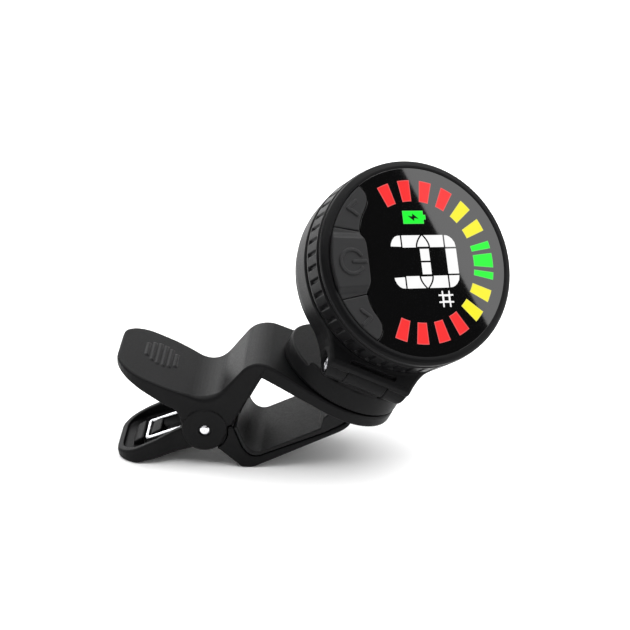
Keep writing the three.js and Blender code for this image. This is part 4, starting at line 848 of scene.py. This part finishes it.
sdf_piece("rear_housing_moulding", rear, (-18.5, -18.5, -15.7), (18.5, 18.5, -7.3), 0.27 * Q, FACE, "display_head", "black_plastic", PLASTIC, "rear_housing")
for i, (bx_, by_) in enumerate(boss):
    W = FACE @ frame4([1, 0, 0], [0, -1, 0], [0, 0, -1], [bx_, by_, 0])
    cross_screw("housing_screw_%d_plated" % (i + 1), 1.4, 15.35, 14.85, 0.62, 6.5, W, "display_head", "housing_screw_%d" % (i + 1), 0.1)

# ------------------------------------------------------------------ CAD pieces that stay, with their own finish
KEEP = {
    "swivel_washer": STEEL, "swivel_screw": STEEL, "hinge_washer_left": NYLON, "hinge_washer_right": NYLON, "usb_socket": STEEL,
    "switch_down": STEEL, "switch_power": STEEL, "switch_up": STEEL, "keypad_mat": MAT, "display_panel": MODULE, "circuit_board": BOARD,
    "friction_ring": PADS, "battery_cell": FOIL, "piezo_sensor": BRASS,
}
for n_, m_ in KEEP.items():
    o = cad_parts[n_]
    o.data.materials.clear(); o.data.materials.append(m_)
    bv = o.modifiers.new("edges", "BEVEL"); bv.width = 0.00008; bv.segments = 2; bv.limit_method = "ANGLE"; bv.angle_limit = 35 * D

# ------------------------------------------------------------------ floor, lights, camera
me = bpy.data.meshes.new("floor")
me.from_pydata([(-3, -3, 0), (3, -3, 0), (3, 3, 0), (-3, 3, 0)], [], [(0, 1, 2, 3)])
floor = bpy.data.objects.new("floor", me); bpy.context.scene.collection.objects.link(floor)
floor.location.z = -0.00002
fm = bpy.data.materials.new("pale_floor"); fm.use_nodes = True
fb = next(x for x in fm.node_tree.nodes if x.type == "BSDF_PRINCIPLED")
fb.inputs["Base Color"].default_value = (0.93, 0.93, 0.93, 1); fb.inputs["Roughness"].default_value = 0.6; fb.inputs["Specular IOR Level"].default_value = 0.15
me.materials.append(fm)

world = bpy.data.worlds.new("studio"); bpy.context.scene.world = world; world.use_nodes = True
bg = next(x for x in world.node_tree.nodes if x.type == "BACKGROUND")
bg.inputs["Color"].default_value = (1, 1, 1, 1); bg.inputs["Strength"].default_value = 0.06


def area(name, loc, target, sx, sy, radiance, roll=0.0):
    """A soft box: its radiance is in scene units, so its power follows its size."""
    li = bpy.data.lights.new(name, "AREA"); li.shape = "RECTANGLE"; li.size, li.size_y = sx, sy
    li.energy = radiance * math.pi * sx * sy
    o = bpy.data.objects.new(name, li); bpy.context.scene.collection.objects.link(o)
    o.location = loc
    o.rotation_mode = "QUATERNION"
    o.rotation_quaternion = (Vector(target) - Vector(loc)).to_track_quat("-Z", "Y") @ Matrix.Rotation(roll, 4, "Z").to_quaternion()
    return o


C0 = Vector((0.0, 0.0, 0.025))
area("top_softbox", (0.0, 0.15, 1.10), C0, 2.2, 1.7, 3.0)
area("back_softbox", (-0.35, 1.35, 0.65), C0, 1.5, 0.7, 1.9)
area("left_softbox", (-1.2, 0.15, 0.75), C0, 0.8, 0.9, 1.8)
area("low_back_softbox", (-0.58, 1.45, 0.36), C0, 1.0, 0.36, 2.4)
area("low_right_softbox", (0.62, 1.45, 0.34), C0, 0.9, 0.36, 1.5)
area("front_softbox", (-0.5, -1.4, 0.62), C0, 1.6, 0.7, 1.3)

# side box seen in the window: its near edge stands on the line that crosses the window
cam_loc = Vector((33.38 - ORIGIN_X, -306.3 - ORIGIN_Y, 177.864)) / 1000


def mirror_dir(hx, ux):
    P = Vector((G_O + H_AX * hx + U_AX * ux) / 1000); N = Vector(N_AX)
    d = (P - cam_loc).normalized()
    return P, (d - 2 * d.dot(N) * N).normalized()


P1, R1 = mirror_dir(-7.95, 15.74); P2, R2 = mirror_dir(16.64, -6.29)
dist = 0.9
A1, A2 = P1 + R1 * dist, P2 + R2 * dist
along = (A1 - A2).normalized()
P3, R3 = mirror_dir(14, 10)
mid = (A1 + A2) / 2
inward = (P3 + R3 * dist) - mid; inward = (inward - along * inward.dot(along)).normalized()
size_l, size_w = 2.3, 1.15
centre = mid + inward * (size_w / 2)
normal = (C0 - centre); normal = (normal - along * normal.dot(along) - inward * normal.dot(inward)).normalized()
li = bpy.data.lights.new("side_softbox", "AREA"); li.shape = "RECTANGLE"; li.size, li.size_y = size_w, size_l
li.energy = 2.9 * math.pi * size_w * size_l
so_ = bpy.data.objects.new("side_softbox", li); bpy.context.scene.collection.objects.link(so_)
zax = -normal; xax = inward; yax = zax.cross(xax)
so_.matrix_world = Matrix(((xax.x, yax.x, zax.x, centre.x), (xax.y, yax.y, zax.y, centre.y), (xax.z, yax.z, zax.z, centre.z), (0, 0, 0, 1)))

cam = bpy.data.cameras.new("camera"); cam.sensor_width = 36; cam.lens = 1807.13 * 36 / 630
co = bpy.data.objects.new("camera", cam); bpy.context.scene.collection.objects.link(co)
az, el, ro = -2.39 * D, 26.0 * D, 0.07 * D
fwd = Vector((math.sin(az) * math.cos(el), math.cos(az) * math.cos(el), -math.sin(el)))
right = Vector((math.cos(az), -math.sin(az), 0)); upv = right.cross(fwd)
rr = right * math.cos(ro) + upv * math.sin(ro); uu = upv * math.cos(ro) - right * math.sin(ro)
co.matrix_world = Matrix(((rr.x, uu.x, -fwd.x, cam_loc.x), (rr.y, uu.y, -fwd.y, cam_loc.y), (rr.z, uu.z, -fwd.z, cam_loc.z), (0, 0, 0, 1)))
cam.clip_start, cam.clip_end = 0.01, 50
bpy.context.scene.camera = co
bpy.context.scene.view_settings.view_transform = "Standard"
